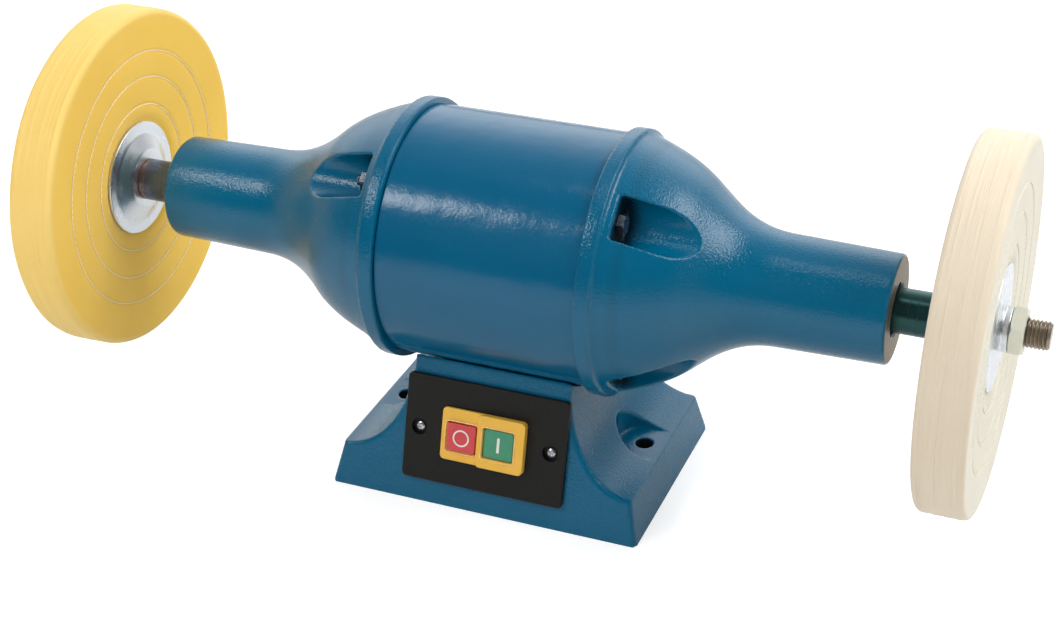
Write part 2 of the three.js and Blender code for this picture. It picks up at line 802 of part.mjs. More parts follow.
function baseCover() {
  const width = 2 * (baseHalfWidth(coverTop, baseWall) - coverGap);
  const depth = 2 * (baseHalfDepth(coverTop, baseWall) - coverGap);
  const holes = [-1, 1].map((side) => [capacitorMiddle, capacitorY + side * clampScrewOut, clampScrewRadius]);
  for (const side of [-1, 1]) {
    holes.push([(side * footHoleSpread) / 2, 0, footBossRadius + coverHoleGap]);
    for (const end of [-1, 1]) {
      holes.push([(side * pillarSpreadX) / 2, (end * pillarSpreadY) / 2, coverScrewRadius]);
    }
  }
  let body = solid(slab(width, depth, baseCorner, coverLift, coverTop, 0, 1));
  for (const [x, y, radius] of holes) {
    const steps = radius > footBossRadius ? footSteps : screwSteps;
    body = body.subtract(solid(post(radius + fit, 0, coverTop + overrun, steps).translate(x, y, 0)));
  }
  return body;
}

// A pan-head screw along X: its head from the origin onwards, its shank the other way.
function panScrew(headRadius, headHeight, shankRadius, length) {
  return solid(turned([
    [-length, 0], [-length, shankRadius], [0, shankRadius], [0, headRadius],
    [headHeight, headRadius / 2], [headHeight, 0],
  ], screwSteps));
}

function coverScrew() {
  return panScrew(coverHeadRadius, coverHeadHeight, coverScrewRadius, coverScrewLength);
}

// Saddle bolts clamp the motor tube down on the base from inside it
const saddleHeadFlats = 10;
const saddleHeadHeight = 4;

function saddleBolt() {
  const seat = spindleHeight - deckRadius - fit;
  const end = spindleHeight - tubeBore - fit;
  const head = hexagon(saddleHeadFlats, seat - saddleHeadHeight, seat);
  return solid(head).add(solid(rod(saddleBoltRadius, seat - saddleHeadHeight / 2, end, screwSteps)));
}

// Switch plate with bevelled edges, a counterbore at each screw and the switch's cut-out
const plateBevel = 0.9;
const plateCorner = 2.6;
const counterboreRadius = 5.2;
const counterboreFloor = 1;
const counterboreSteps = 12;
const plateHeadRadius = 3.2;
const plateHeadHeight = 1.4;

function switchPlate() {
  const top = fit + plateSheet;
  let body = solid(slab(plateWidth, plateHeight, plateCorner, fit, top, plateBevel, 2));
  for (const side of [-1, 1]) {
    const x = (side * plateScrewSpread) / 2;
    const recess = post(counterboreRadius, fit + counterboreFloor, top + overrun, counterboreSteps);
    body = body.subtract(solid(recess.translate(x, 0, 0)));
    const hole = post(plateScrewRadius + fit, 0, top, screwSteps);
    body = body.subtract(solid(hole.translate(x, 0, 0)));
  }
  const [halfWidth, halfHeight] = [switchWidth / 2 + switchHoleGap, switchHeight / 2 + switchHoleGap];
  const opening = block([-halfWidth, -halfHeight, 0], [halfWidth, halfHeight, top + overrun]);
  return body.subtract(solid(opening));
}

function plateScrew() {
  return panScrew(plateHeadRadius, plateHeadHeight, plateScrewRadius, plateScrewLength);
}

// Switch: a yellow frame on the plate, higher round the green button, and a body behind it
const frameWidth = 50;
const frameHeight = 30.4;
const frameSheet = 1.8;
const frameCorner = 2.6;
const frameBevel = 0.6;
const collarRise = 2.4;
const collarWidth = 28;
const offButtonSize = [17, 16];
const onButtonSize = [17.4, 16.8];
const offButtonPlace = [-12.4, -0.8];
const onButtonPlace = [9.8, -0.4];
const buttonGap = 0.35;
const buttonRise = 1.6;
const buttonCorner = 1.2;
const buttonBevel = 0.6;
const buttonSkirt = 10;
const buttonTravel = 3;
const wellFloorGap = 2.5;
const plateFace = fit + plateSheet;
const frameBack = plateFace + fit;
const frameFace = frameBack + frameSheet;
const buttonFace = frameFace + buttonRise;
const bodyFace = plateFace;

function buttonWindow(size, place, low, high) {
  const half = size.map((value) => value / 2 + buttonGap);
  const [x, y] = place;
  return solid(block([x - half[0], y - half[1], low], [x + half[0], y + half[1], high]));
}

function switchFrame() {
  const flange = solid(slab(frameWidth, frameHeight, frameCorner, frameBack, frameFace, frameBevel, 2));
  const collarFace = frameFace + collarRise;
  const collarShape = slab(collarWidth, frameHeight, frameCorner, frameBack, collarFace, frameBevel, 2);
  const collar = solid(collarShape.translate((frameWidth - collarWidth) / 2, 0, 0));
  const low = frameBack - overrun;
  const high = collarFace + overrun;
  const off = buttonWindow(offButtonSize, offButtonPlace, low, high);
  const on = buttonWindow(onButtonSize, onButtonPlace, low, high);
  return flange.add(collar).subtract(off).subtract(on);
}

function switchBody() {
  const low = bodyFace - switchDepth;
  const wellFloor = buttonFace - buttonSkirt - buttonTravel - wellFloorGap;
  const shell = solid(slab(switchWidth, switchHeight, buttonCorner, low, bodyFace, 0, 1));
  const off = buttonWindow(offButtonSize, offButtonPlace, wellFloor, bodyFace + overrun);
  const on = buttonWindow(onButtonSize, onButtonPlace, wellFloor, bodyFace + overrun);
  return shell.subtract(off).subtract(on);
}

function button([width, height], [x, y]) {
  const low = buttonFace - buttonSkirt;
  return solid(slab(width, height, buttonCorner, low, buttonFace, buttonBevel, 2).translate(x, y, 0));
}

// Run capacitor on the cover, under a sheet-metal saddle clamp with two screws
const capacitorRadius = 15;
const capacitorStart = -50;
const capacitorLength = 58;
const capacitorY = 24;
const capacitorRound = 1.5;
const clampSheet = 1.2;
const clampBand = 14;
const clampFoot = 9;
const clampArcSteps = 10;
const clampScrewRadius = 1.5;
const clampHeadRadius = 2.8;
const clampHeadHeight = 1.8;
const clampScrewLength = 3.4;
const capacitorHeight = coverTop + fit + capacitorRadius;
const capacitorMiddle = capacitorStart + capacitorLength / 2;
const clampOuter = capacitorRadius + fit + clampSheet;
const clampFootTop = coverTop + fit + clampSheet;
const clampScrewOut = clampOuter + clampFoot / 2;

function capacitor() {
  const end = capacitorStart + capacitorLength;
  return solid(turned([
    [capacitorStart, 0], [capacitorStart, capacitorRadius - capacitorRound],
    [capacitorStart + capacitorRound, capacitorRadius], [end - capacitorRound, capacitorRadius],
    [end, capacitorRadius - capacitorRound], [end, 0],
  ], smallSteps).translate(0, capacitorY, capacitorHeight));
}

function capacitorClamp() {
  const inner = capacitorRadius + fit;
  const footLow = coverTop + fit - capacitorHeight;
  const footHigh = footLow + clampSheet;
  const section = new THREE.Shape();
  section.moveTo(clampOuter + clampFoot, footLow);
  section.lineTo(clampOuter + clampFoot, footHigh);
  section.lineTo(clampOuter, footHigh);
  section.absarc(0, 0, clampOuter, 0, degrees(180), false);
  section.lineTo(-clampOuter, footHigh);
  section.lineTo(-clampOuter - clampFoot, footHigh);
  section.lineTo(-clampOuter - clampFoot, footLow);
  section.lineTo(-inner, footLow);
  section.absarc(0, 0, inner, degrees(180), 0, true);
  section.lineTo(inner, footLow);
  section.closePath();
  const strap = pushed(section, -clampBand / 2, clampBand / 2, clampArcSteps);
  let body = solid(strap.translate(capacitorMiddle, capacitorY, capacitorHeight));
  for (const side of [-1, 1]) {
    const hole = post(clampScrewRadius + fit, 0, clampFootTop + overrun, screwSteps);
    body = body.subtract(solid(hole.translate(capacitorMiddle, capacitorY + side * clampScrewOut, 0)));
  }
  return body;
}

function clampScrew() {
  return panScrew(clampHeadRadius, clampHeadHeight, clampScrewRadius, clampScrewLength);
}

// Terminal block on the cover, with two rows of wire wells
const blockX = 22;
const blockY = 14;
const blockLength = 29;
const blockDepth = 18;
const blockHeight = 15;
const blockWells = 3;
const wellRadius = 2;
const wellDepth = 6;
const wellInset = 4;

function terminalBlock() {
  const low = coverTop + fit;
  const farCorner = [blockX + blockLength, blockY + blockDepth, low + blockHeight];
  let body = solid(block([blockX, blockY, low], farCorner));
  const pitch = blockLength / blockWells;
  for (let i = 0; i < blockWells; i += 1) {
    for (const y of [blockY + wellInset, blockY + blockDepth - wellInset]) {
      const well = post(wellRadius, low + blockHeight - wellDepth, low + blockHeight + overrun, screwSteps);
      body = body.subtract(solid(well.translate(blockX + pitch * (i + 1 / 2), y, 0)));
    }
  }
  return body;
}

// Internal leads: from the right-hand winding down to the block, and from the switch to the block
const motorLeadRadius = 3;
const switchLeadRadius = 2.2;
const leadDrop = 5;
const leadSteps = 10;
const leadSides = 8;
const blockTop = coverTop + fit + blockHeight + fit;

function motorLeads() {
  const top = spindleHeight - windingRadius - fit;
  const deck = spindleHeight - deckRadius;
  const y = blockY + blockDepth / 2;
  return solid(lead([
    [leadHoleX, 0, top], [leadHoleX, 0, (top + deck) / 2], [leadHoleX, 0, deck],
    [leadHoleX, y / 2, (deck + blockTop + 2 * leadDrop) / 2],
    [leadHoleX, y, blockTop + 2 * leadDrop], [leadHoleX, y, blockTop + leadDrop], [leadHoleX, y, blockTop],
  ], motorLeadRadius, leadSteps, leadSides));
}

function switchLeads() {
  const start = bodyFace - switchDepth - fit;
  const away = [0, leadDrop, 2 * leadDrop].map((distance) => (
    new THREE.Vector3(switchWidth / 4, plateMiddle, start - distance).applyMatrix4(faceFrame).toArray()
  ));
  const x = blockX + switchLeadRadius * 2;
  const y = blockY + blockDepth / 2;
  return solid(lead([
    ...away, [x, y, blockTop + 2 * leadDrop], [x, y, blockTop + leadDrop], [x, y, blockTop],
  ], switchLeadRadius, leadSteps, leadSides));
}

// Cable gland in the back wall, held by a locknut inside; its bore is open
function cableGland() {
  const domeEnd = fit + glandHexHeight + glandDome;
  const hex = solid(hexagon(glandHexFlats, fit, fit + glandHexHeight));
  const core = solid(turned([
    [-glandStub, 0], [-glandStub, glandThread], [fit * 2, glandThread],
    [fit + glandHexHeight / 2, glandDomeRadius], [domeEnd - glandDome / 4, glandDomeRadius],
    [domeEnd, glandBore + glandThread / 5], [domeEnd, 0],
  ], boltSteps));
  const bore = solid(rod(glandBore, -glandStub - overrun, domeEnd + overrun, boltSteps));
  return hex.add(core).subtract(bore);
}

function glandLocknut() {
  const start = -baseWall - fit - glandLocknutHeight;
  const nut = hexagon(glandHexFlats, start, start + glandLocknutHeight);
  return solid(nut).subtract(solid(rod(glandThread + fit, start - overrun, fit, boltSteps)));
}

// Assembly

const machine = new THREE.Group();
const spindleLine = new THREE.Group();
spindleLine.position.z = spindleHeight;
machine.add(spindleLine);

// One piece on each side; the left one is turned half round about the vertical.
function pair(stem, build, material) {
  const body = build();
  for (const [side, turn] of [['right', 0], ['left', 180]]) {
    const mesh = piece(`${stem}_${side}`, body, material);
    mesh.rotation.z = degrees(turn);
    spindleLine.add(mesh);
  }
}

spindleLine.add(piece('motor_housing', motorHousing(), bluePaint));
const bellRight = piece('end_bell_right', endBell(armEnd - endWall), bluePaint);
const bellLeft = piece('end_bell_left', endBell(armEnd - endWall + washerSpace), bluePaint);
bellLeft.rotation.z = degrees(180);
spindleLine.add(bellRight, bellLeft);
tieBoltAngles.forEach((angle, i) => {
  const boltLine = new THREE.Group();
  boltLine.rotation.x = degrees(angle);
  spindleLine.add(boltLine);
  for (const [stem, build] of [['tie_bolt', tieBolt], ['tie_nut', tieNut]]) {
    const mesh = piece(`${stem}_${i + 1}`, build(), steel);
    mesh.position.z = tieBoltOrbit;
    boltLine.add(mesh);
  }
});
spindleLine.add(piece('stator_core', statorCore(), laminations));
pair('winding', windingEnd, copper);
spindleLine.add(piece('spindle_shaft', spindleShaft(), darkSteel));
spindleLine.add(piece('rotor_core', rotorCore(), laminations));
pair('rotor_end_ring', rotorEndRing, aluminium);
pair('bearing_inner', () => bearingRing(innerRingBore, innerRingBore + ringWall, innerGroove), steel);
pair('bearing_outer', () => bearingRing(bearingRadius, bearingRadius - ringWall, outerGroove), steel);
pair('ball_cage', ballCage, steel);
const washer = piece('wave_washer', waveWasher(), steel);
washer.rotation.z = degrees(180);
spindleLine.add(washer);
pair('inner_flange', innerFlange, zinc);
pair('outer_flange', outerFlange, zinc);
pair('wheel_nut', wheelNut, zinc);
const whiteBuff = piece('buff_white', buff(), whiteCotton);
const yellowBuff = piece('buff_yellow', buff(), yellowCotton);
yellowBuff.rotation.z = degrees(180);
spindleLine.add(whiteBuff, yellowBuff);

machine.add(piece('base_casting', baseCasting(), bluePaint));
machine.add(piece('base_cover', baseCover(), blackPaint));
let coverScrewNumber = 0;
for (const side of [-1, 1]) {
  for (const end of [-1, 1]) {
    coverScrewNumber += 1;
    const screw = piece(`cover_screw_${coverScrewNumber}`, coverScrew(), zinc);
    screw.position.set((side * pillarSpreadX) / 2, (end * pillarSpreadY) / 2, coverLift - fit);
    screw.rotation.y = degrees(90);
    machine.add(screw);
  }
}
for (const [number, side] of [[1, -1], [2, 1]]) {
  const bolt = piece(`saddle_bolt_${number}`, saddleBolt(), steel);
  bolt.position.x = (side * saddleBoltSpread) / 2;
  bolt.rotation.y = degrees(-90);
  machine.add(bolt);
}

const frontFace = new THREE.Group();
frontFace.applyMatrix4(faceFrame);
frontFace.translateY(plateMiddle);
machine.add(frontFace);
frontFace.add(piece('switch_plate', switchPlate(), blackPlastic));
for (const [name, side] of [['left', -1], ['right', 1]]) {
  const screw = piece(`plate_screw_${name}`, plateScrew(), zinc);
  screw.position.set((side * plateScrewSpread) / 2, 0, fit + counterboreFloor + fit);
  screw.rotation.y = degrees(-90);
  frontFace.add(screw);
}
frontFace.add(piece('switch_frame', switchFrame(), yellowPlastic));
frontFace.add(piece('switch_body', switchBody(), blackPlastic));
frontFace.add(piece('off_button', button(offButtonSize, offButtonPlace), redPlastic));
frontFace.add(piece('on_button', button(onButtonSize, onButtonPlace), greenPlastic));

machine.add(piece('capacitor', capacitor(), whitePlastic));
machine.add(piece('capacitor_clamp', capacitorClamp(), zinc));
for (const [number, side] of [[1, -1], [2, 1]]) {
  const screw = piece(`clamp_screw_${number}`, clampScrew(), zinc);
  screw.position.set(capacitorMiddle, capacitorY + side * clampScrewOut, clampFootTop + fit);
  screw.rotation.y = degrees(-90);
  machine.add(screw);
}
machine.add(piece('terminal_block', terminalBlock(), whitePlastic));
machine.add(piece('motor_leads', motorLeads(), blackPlastic));
machine.add(piece('switch_leads', switchLeads(), blackPlastic));

const backFace = new THREE.Group();
backFace.applyMatrix4(backFrame);
machine.add(backFace);
for (const [name, build, material] of [
  ['cable_gland', cableGland, blackPlastic],
  ['gland_locknut', glandLocknut, blackPlastic],
]) {
  const mesh = piece(name, build(), material);
  mesh.position.set(-glandX, glandUp, 0);
  mesh.rotation.y = degrees(-90);
  backFace.add(mesh);
}

export default machine;
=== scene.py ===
"""Double-ended bench polisher in blue enamel, on a white studio floor.

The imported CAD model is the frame. The pieces that show are rebuilt here finer than the CAD has
them, from the same sizes, and the others keep their CAD meshes under procedural materials.
Lengths are in millimetres, but in metres where a material, a light or the camera takes them.
"""

import math

import bmesh
import bpy
import numpy as np
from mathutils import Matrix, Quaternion, Vector


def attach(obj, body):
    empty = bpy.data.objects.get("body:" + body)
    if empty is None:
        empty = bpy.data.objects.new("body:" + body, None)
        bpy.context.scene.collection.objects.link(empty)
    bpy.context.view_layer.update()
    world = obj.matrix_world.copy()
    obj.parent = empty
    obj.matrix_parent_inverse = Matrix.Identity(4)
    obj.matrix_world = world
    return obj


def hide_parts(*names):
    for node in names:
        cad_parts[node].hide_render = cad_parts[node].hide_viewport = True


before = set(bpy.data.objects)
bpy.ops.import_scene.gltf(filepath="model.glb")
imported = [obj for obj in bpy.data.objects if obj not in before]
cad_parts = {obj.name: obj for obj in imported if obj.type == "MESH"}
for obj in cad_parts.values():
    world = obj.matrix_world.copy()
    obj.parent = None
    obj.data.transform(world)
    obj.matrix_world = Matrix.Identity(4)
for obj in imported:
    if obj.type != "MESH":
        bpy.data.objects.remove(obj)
scene = bpy.context.scene
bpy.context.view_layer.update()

# Camera
# A 67 mm view from about 1.1 m away, to the right of the front and 30 degrees up, as in the
# photograph. It tilts by half a degree. Everything is in focus.
azimuth, elevation, roll = math.radians(21.97), math.radians(29.62), math.radians(-0.58)
back = Vector((
    math.sin(azimuth) * math.cos(elevation),
    -math.cos(azimuth) * math.cos(elevation),
    math.sin(elevation),
))
camera = bpy.data.objects.new("camera", bpy.data.cameras.new("camera"))
scene.collection.objects.link(camera)
scene.camera = camera
camera.data.lens = 67.33
camera.data.sensor_width = 36
camera.data.clip_start = 0.05
camera.rotation_mode = "QUATERNION"
camera.location = (0.36550, -0.89729, 0.63927)
camera.rotation_quaternion = (-back).to_track_quat("-Z", "Y") @ Quaternion((0, 0, 1), roll)

# Motor housing
# A rolled steel tube between the end bells, in smooth gloss enamel with a slight orange peel.
# It is turned with eased ends, and drilled below for the saddle bolts and the leads.
mm = 0.001
spindle_height = 138
tube_radius, tube_bore, tube_end, tube_edge = 70, 64, 56.7, 0.6
tube_drill = (60, 80)
saddle_bolt_x, saddle_bolt_hole = 22, 3.3
lead_x, lead_hole = 36, 4.5


def skin(rings, closed=False):
    """Corners and faces of a skin through equal rings. Open ends are closed by flat caps."""
    rings = np.asarray(rings, float)
    count, around = rings.shape[:2]
    corner = np.arange(count * around).reshape(count, around)
    low = corner if closed else corner[:-1]
    high = np.roll(corner, -1, axis=0) if closed else corner[1:]
    sides = np.stack([low, np.roll(low, -1, 1), np.roll(high, -1, 1), high], -1)
    faces = sides.reshape(-1, 4).tolist()
    if not closed:
        faces += [corner[0][::-1].tolist(), corner[-1].tolist()]
    return rings.reshape(-1, 3), faces


def shape(name, corners, faces):
    """A mesh object from corners in millimetres, with its faces turned outwards."""
    mesh = bpy.data.meshes.new(name)
    mesh.from_pydata((np.asarray(corners) * mm).tolist(), [], faces)
    work = bmesh.new()
    work.from_mesh(mesh)
    bmesh.ops.recalc_face_normals(work, faces=work.faces)
    work.to_mesh(mesh)
    work.free()
    made = bpy.data.objects.new(name, mesh)
    scene.collection.objects.link(made)
    return made


def turned(name, outline, around=128):
    """An outline of (along, radius) points turned about the spindle. One that starts on the
    axis is solid, and any other closes on itself."""
    outline = np.asarray(outline, float)
    closed = outline[0, 1] > 0
    if not closed:
        outline = outline[1:-1]
    angle = np.linspace(0, 2 * np.pi, around, endpoint=False)
    rings = np.empty((len(outline), around, 3))
    rings[..., 0] = outline[:, :1]
    rings[..., 1] = -outline[:, 1:] * np.sin(angle)
    rings[..., 2] = spindle_height + outline[:, 1:] * np.cos(angle)
    return shape(name, *skin(rings, closed))


def eased(outline, radius, steps=4, side_share=0.45):
    """The outline with its corners rounded off, except those on the axis. A round takes no more
    than a share of either side that meets there."""
    points = np.asarray(outline, float)
    result = []
    for i, corner in enumerate(points):
        if corner[1] == 0:
            result.append(corner)
            continue
        to_last = points[i - 1] - corner
        to_next = points[(i + 1) % len(points)] - corner
        last_side, next_side = np.linalg.norm(to_last), np.linalg.norm(to_next)
        reach = min(radius, side_share * last_side, side_share * next_side)
        start = corner + to_last / last_side * reach
        end = corner + to_next / next_side * reach
        for t in np.linspace(0, 1, steps + 1):
            result.append((1 - t) ** 2 * start + 2 * t * (1 - t) * corner + t ** 2 * end)
    return np.array(result)


def settle(piece):
    """Turns a piece's modifiers into its mesh."""
    shown = piece.evaluated_get(bpy.context.evaluated_depsgraph_get())
    piece.data = bpy.data.meshes.new_from_object(shown)
    piece.modifiers.clear()


def combine(body, tools, operation="DIFFERENCE"):
    """The body with the tools cut from it, joined to it or kept in common with it."""
    for tool in tools:
        modifier = body.modifiers.new("tool", "BOOLEAN")
        modifier.operation = operation
        modifier.solver = "MANIFOLD"
        modifier.object = tool
    settle(body)
    for tool in tools:
        bpy.data.objects.remove(tool)
    return body


def prism(outline, start, end, place):
    """A flat outline pushed from start to end, then put in place by a function on its corners."""
    outline = np.asarray(outline, float)
    rings = [np.column_stack([np.full(len(outline), along), outline]) for along in (start, end)]
    corners, faces = skin(rings)
    return shape("tool", place(corners), faces)


def circle(radius, around):
    angle = np.linspace(0, 2 * np.pi, around, endpoint=False)
    return np.column_stack([radius * np.cos(angle), radius * np.sin(angle)])


def rod(radius, start, end, place, around=24):
    """A round prism, for a bar or for the hole that a drill leaves."""
    return prism(circle(radius, around), start, end, place)


def standing(x, y):
    """A place for a prism that stands along Z at a point."""
    return lambda corners: np.column_stack([corners[:, 1] + x, corners[:, 2] + y, corners[:, 0]])


def smooth(piece, angle=35):
    """Smooth shading, with edges sharper than the angle left crisp and flats kept flat."""
    piece.data.shade_smooth()
    piece.data.set_sharp_from_angle(angle=math.radians(angle))
    piece.modifiers.new("flats", "WEIGHTED_NORMAL").keep_sharp = True
    return piece


class Wire:
    """One output in a material's node tree, so that sums on it are written as sums."""

    def __init__(self, tree, socket=None):
        self.tree, self.socket = tree, socket

    def make(self, kind, settings, inputs, out=0):
        """A new node of a kind, and the wire from one of its outputs."""
        node = self.tree.nodes.new("ShaderNode" + kind)
        for name, value in settings.items():
            setattr(node, name, value)
        for name, value in inputs.items():
            if isinstance(value, Wire):
                self.tree.links.new(value.socket, node.inputs[name])
            else:
                node.inputs[name].default_value = value
        return Wire(self.tree, node.outputs[out] if node.outputs else None)

    def maths(self, operation, *values):
        return self.make("Math", {"operation": operation}, dict(enumerate(values)))

    def __add__(self, other):
        return self.maths("ADD", self, other)

    def __radd__(self, other):
        return self.maths("ADD", other, self)

    def __sub__(self, other):
        return self.maths("SUBTRACT", self, other)

    def __rsub__(self, other):
        return self.maths("SUBTRACT", other, self)

    def __mul__(self, other):
        return self.maths("MULTIPLY", self, other)

    def __rmul__(self, other):
        return self.maths("MULTIPLY", other, self)

    def __abs__(self):
        return self.maths("ABSOLUTE", self)


def vector(operation, *values, out=0):
    """Vector Math on values, of which the first is a wire."""
    return values[0].make("VectorMath", {"operation": operation}, dict(enumerate(values)), out)


def noise(place, scale, detail=2, stretch=(1, 1, 1)):
    """Noise from 0 to 1 with so many features to the metre, drawn out along the axes."""
    scaled = vector("MULTIPLY", place, stretch)
    return place.make("TexNoise", {}, {"Vector": scaled, "Scale": scale, "Detail": detail})


def ramp(value, low, high, start=0.0, end=1.0):
    """A soft step from start to end as the value goes from low to high."""
    ends = {"Value": value, "From Min": low, "From Max": high, "To Min": start, "To Max": end}
    return value.make("MapRange", {"interpolation_type": "SMOOTHSTEP"}, ends)


def uneven(pattern, low, high):
    """A value between low and high that follows the middle of a noise."""
    return ramp(pattern, 0.3, 0.7, low, high)


def tinted(factor, first, second):
    """The first colour at factor 0 and the second at factor 1."""
    return factor.make("Mix", {"data_type": "RGBA"}, {0: factor, 6: first, 7: second}, 2)


def bumped(height, distance):
    """A normal for a surface whose height from 0 to 1 stands for a distance in metres."""
    return height.make("Bump", {}, {"Height": height, "Distance": distance})


def paint(red, green, blue):
    """A screen colour from 0 to 255 as the light that a surface gives back."""
    shares = [value / 255 for value in (red, green, blue)]
    return (*[s / 12.92 if s <= 0.04045 else ((s + 0.055) / 1.055) ** 2.4 for s in shares], 1)


def emptied(owner):
    """The cleared node tree of a material or a world."""
    owner.use_nodes = True
    owner.node_tree.nodes.clear()
    return Wire(owner.node_tree)


def finish(name, surface):
    """A material whose surface function gives the inputs of its shader for a place in metres."""
    made = bpy.data.materials.new(name)
    place = emptied(made).make("TexCoord", {}, {}, "Object")
    shader = place.make("BsdfPrincipled", {}, surface(place))
    place.make("OutputMaterial", {}, {"Surface": shader})
    return made


def seat(piece, body, slot, coat, *nodes):
    """Gives a new piece its finish and its body, and hides the CAD nodes that it stands for."""
    piece.data.materials.clear()
    piece.data.materials.append(coat)
    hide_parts(*nodes)
    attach(piece, body)


def housing_enamel(place):
    peel = noise(place, 620)
    sag = noise(place, 60)
    drift = noise(place, 22)
    return {
        "Base Color": tinted(drift, paint(0, 86, 121), paint(0, 94, 131)),
        "Roughness": uneven(peel, 0.14, 0.2),
        "Specular IOR Level": 0.45,
        "Normal": bumped(peel * 0.16 + sag * 0.84, 0.0004),
    }


housing = turned("motor_tube", eased([
    [-tube_end, tube_bore], [-tube_end, tube_radius], [tube_end, tube_radius], [tube_end, tube_bore],
], tube_edge), 256)
combine(housing, [
    rod(radius, *tube_drill, standing(x, 0)) for x, radius in (
        (-saddle_bolt_x, saddle_bolt_hole), (saddle_bolt_x, saddle_bolt_hole), (lead_x, lead_hole),
    )
])
smooth(housing)
seat(housing, "machine", "blue_paint", finish("housing_enamel", housing_enamel), "motor_housing")

# End bells
# Cast iron under enamel: a raised rim at the tube, a shoulder that sweeps down to the long arm,
# and four scooped pockets for the tie bolts. Each is turned and cut, then remeshed and smoothed,
# which rounds its edges as casting does. The right arm's end is faced bare, the left one painted.
spigot_start, spigot_radius = 51, 63.7
rim_start, rim_end, rim_radius = 57, 65.5, 73.5
shoulder_radius, arm_radius, arm_root = 71.2, 30.5, 150
arm_end, arm_end_radius, arm_chamfer = 209.5, 29.4, 1
cast_wall, bell_bore, arm_bore = 6, 60, 25
bearing_stop, bearing_bore, end_bore = 189.2, 23.8, 14.4
wall_face_right, wall_face_left = 203.5, 205.5
bolt_angles = (42, 138, 222, 318)
bolt_orbit, bolt_seat, bolt_boss, bolt_radius, bolt_gap = 58.5, 70, 8, 3, 0.3
pocket_radius, pocket_wall = 12.5, 4.5
pocket_corner_start, pocket_corner_end = 64, 69
foot_x, foot_hole, foot_face = 74, 5, 24.5
overrun = 4
cast_voxel = 0.0009


def shoulder(steps):
    """The sweep from the rim down to the arm, as (along, radius) points on two joined curves."""
    length, drop = arm_root - rim_end, shoulder_radius - arm_radius
    points = []
    for curve_shares in (
        ((0, 0), (0.16, 0.12), (0.337, 0.238), (0.479, 0.496)),
        ((0.479, 0.496), (0.621, 0.754), (0.763, 0.988), (1, 1)),
    ):
        a, b, c, d = (
            np.array([rim_end + length * along, shoulder_radius - drop * down])
            for along, down in curve_shares
        )
        for t in np.linspace(0, 1, steps, endpoint=False):
            rest = 1 - t
            points.append(
                rest ** 3 * a + 3 * t * rest ** 2 * b + 3 * t * t * rest * c + t ** 3 * d)
    return [*points, d]


def round_spindle(angle):
    """A place for a prism made on the bolts' circle, turned about the spindle by an angle."""
    turn = math.radians(angle)

    def place(corners):
        x, y, z = corners[:, 0], corners[:, 1], corners[:, 2] + bolt_orbit
        return np.column_stack([
            x, y * math.cos(turn) - z * math.sin(turn),
            spindle_height + y * math.sin(turn) + z * math.cos(turn),
        ])

    return place


def trough(radius, height, around=24):
    """An outline with a half-round floor and straight sides up to a height."""
    angle = np.linspace(np.pi, 2 * np.pi, around)
    floor = np.column_stack([radius * np.cos(angle), radius * np.sin(angle)])
    return np.vstack([[-radius, height], floor, [radius, height]])


def soften(piece, voxel, rounds):
    """Remeshes a piece and smooths it, which rounds every edge by about the voxel's size. The
    voxel is in metres."""
    coarser = 1
    remesh = piece.modifiers.new("remesh", "REMESH")
    remesh.mode = "VOXEL"
    remesh.voxel_size = voxel * coarser
    relax = piece.modifiers.new("relax", "SMOOTH")
    relax.iterations = rounds
    settle(piece)
    piece.data.shade_smooth()
    return piece


def end_bell(name, wall_face):
    """A turned shell with its hollow, bolt pockets and bolt holes cut from it."""
    places = [round_spindle(angle) for angle in bolt_angles]
    hollow = turned("hollow", [
        [spigot_start - overrun, 0], [spigot_start - overrun, bell_bore],
        *[[x, min(bell_bore, max(arm_bore, r - cast_wall))] for x, r in shoulder(12)],
        [bearing_stop, arm_bore], [bearing_stop, bearing_bore], [wall_face, bearing_bore],
        [wall_face, end_bore], [arm_end + overrun, end_bore], [arm_end + overrun, 0],
    ], 64)
    bosses = [rod(bolt_boss, spigot_start, bolt_seat, place) for place in places]
    back_outline = trough(pocket_radius + pocket_wall, rim_radius)
    backs = [prism(back_outline, bolt_seat - pocket_wall, arm_root, place) for place in places]
    combine(hollow, bosses + backs)
    bell = turned(name, [
        [spigot_start, 0], [spigot_start, spigot_radius], [rim_start, spigot_radius],
        [rim_start, rim_radius], [rim_end, rim_radius], *shoulder(32),
        [arm_end - arm_chamfer, arm_end_radius], [arm_end, arm_end_radius - arm_chamfer],
        [arm_end, 0],
    ], 192)
    pocket_outline = trough(pocket_radius, rim_radius)
    pockets = [prism(pocket_outline, bolt_seat, arm_root, place) for place in places]
    holes = [
        rod(bolt_radius + bolt_gap, spigot_start - overrun, bolt_seat + overrun, place)
        for place in places
    ]
    combine(bell, [hollow, *pockets, *holes])
    return soften(bell, cast_voxel, 3)


def part(place, axis):
    """One of the three parts of a place or a direction."""
    return place.make("SeparateXYZ", {}, {0: place}, axis)


def off_spindle(place, along=0):
    """The distance from the spindle's axis, with a share of the way along it counted in."""
    centred = vector("SUBTRACT", place, (0, 0, spindle_height * mm))
    return vector("LENGTH", vector("MULTIPLY", centred, (along, 1, 1)), out="Value")


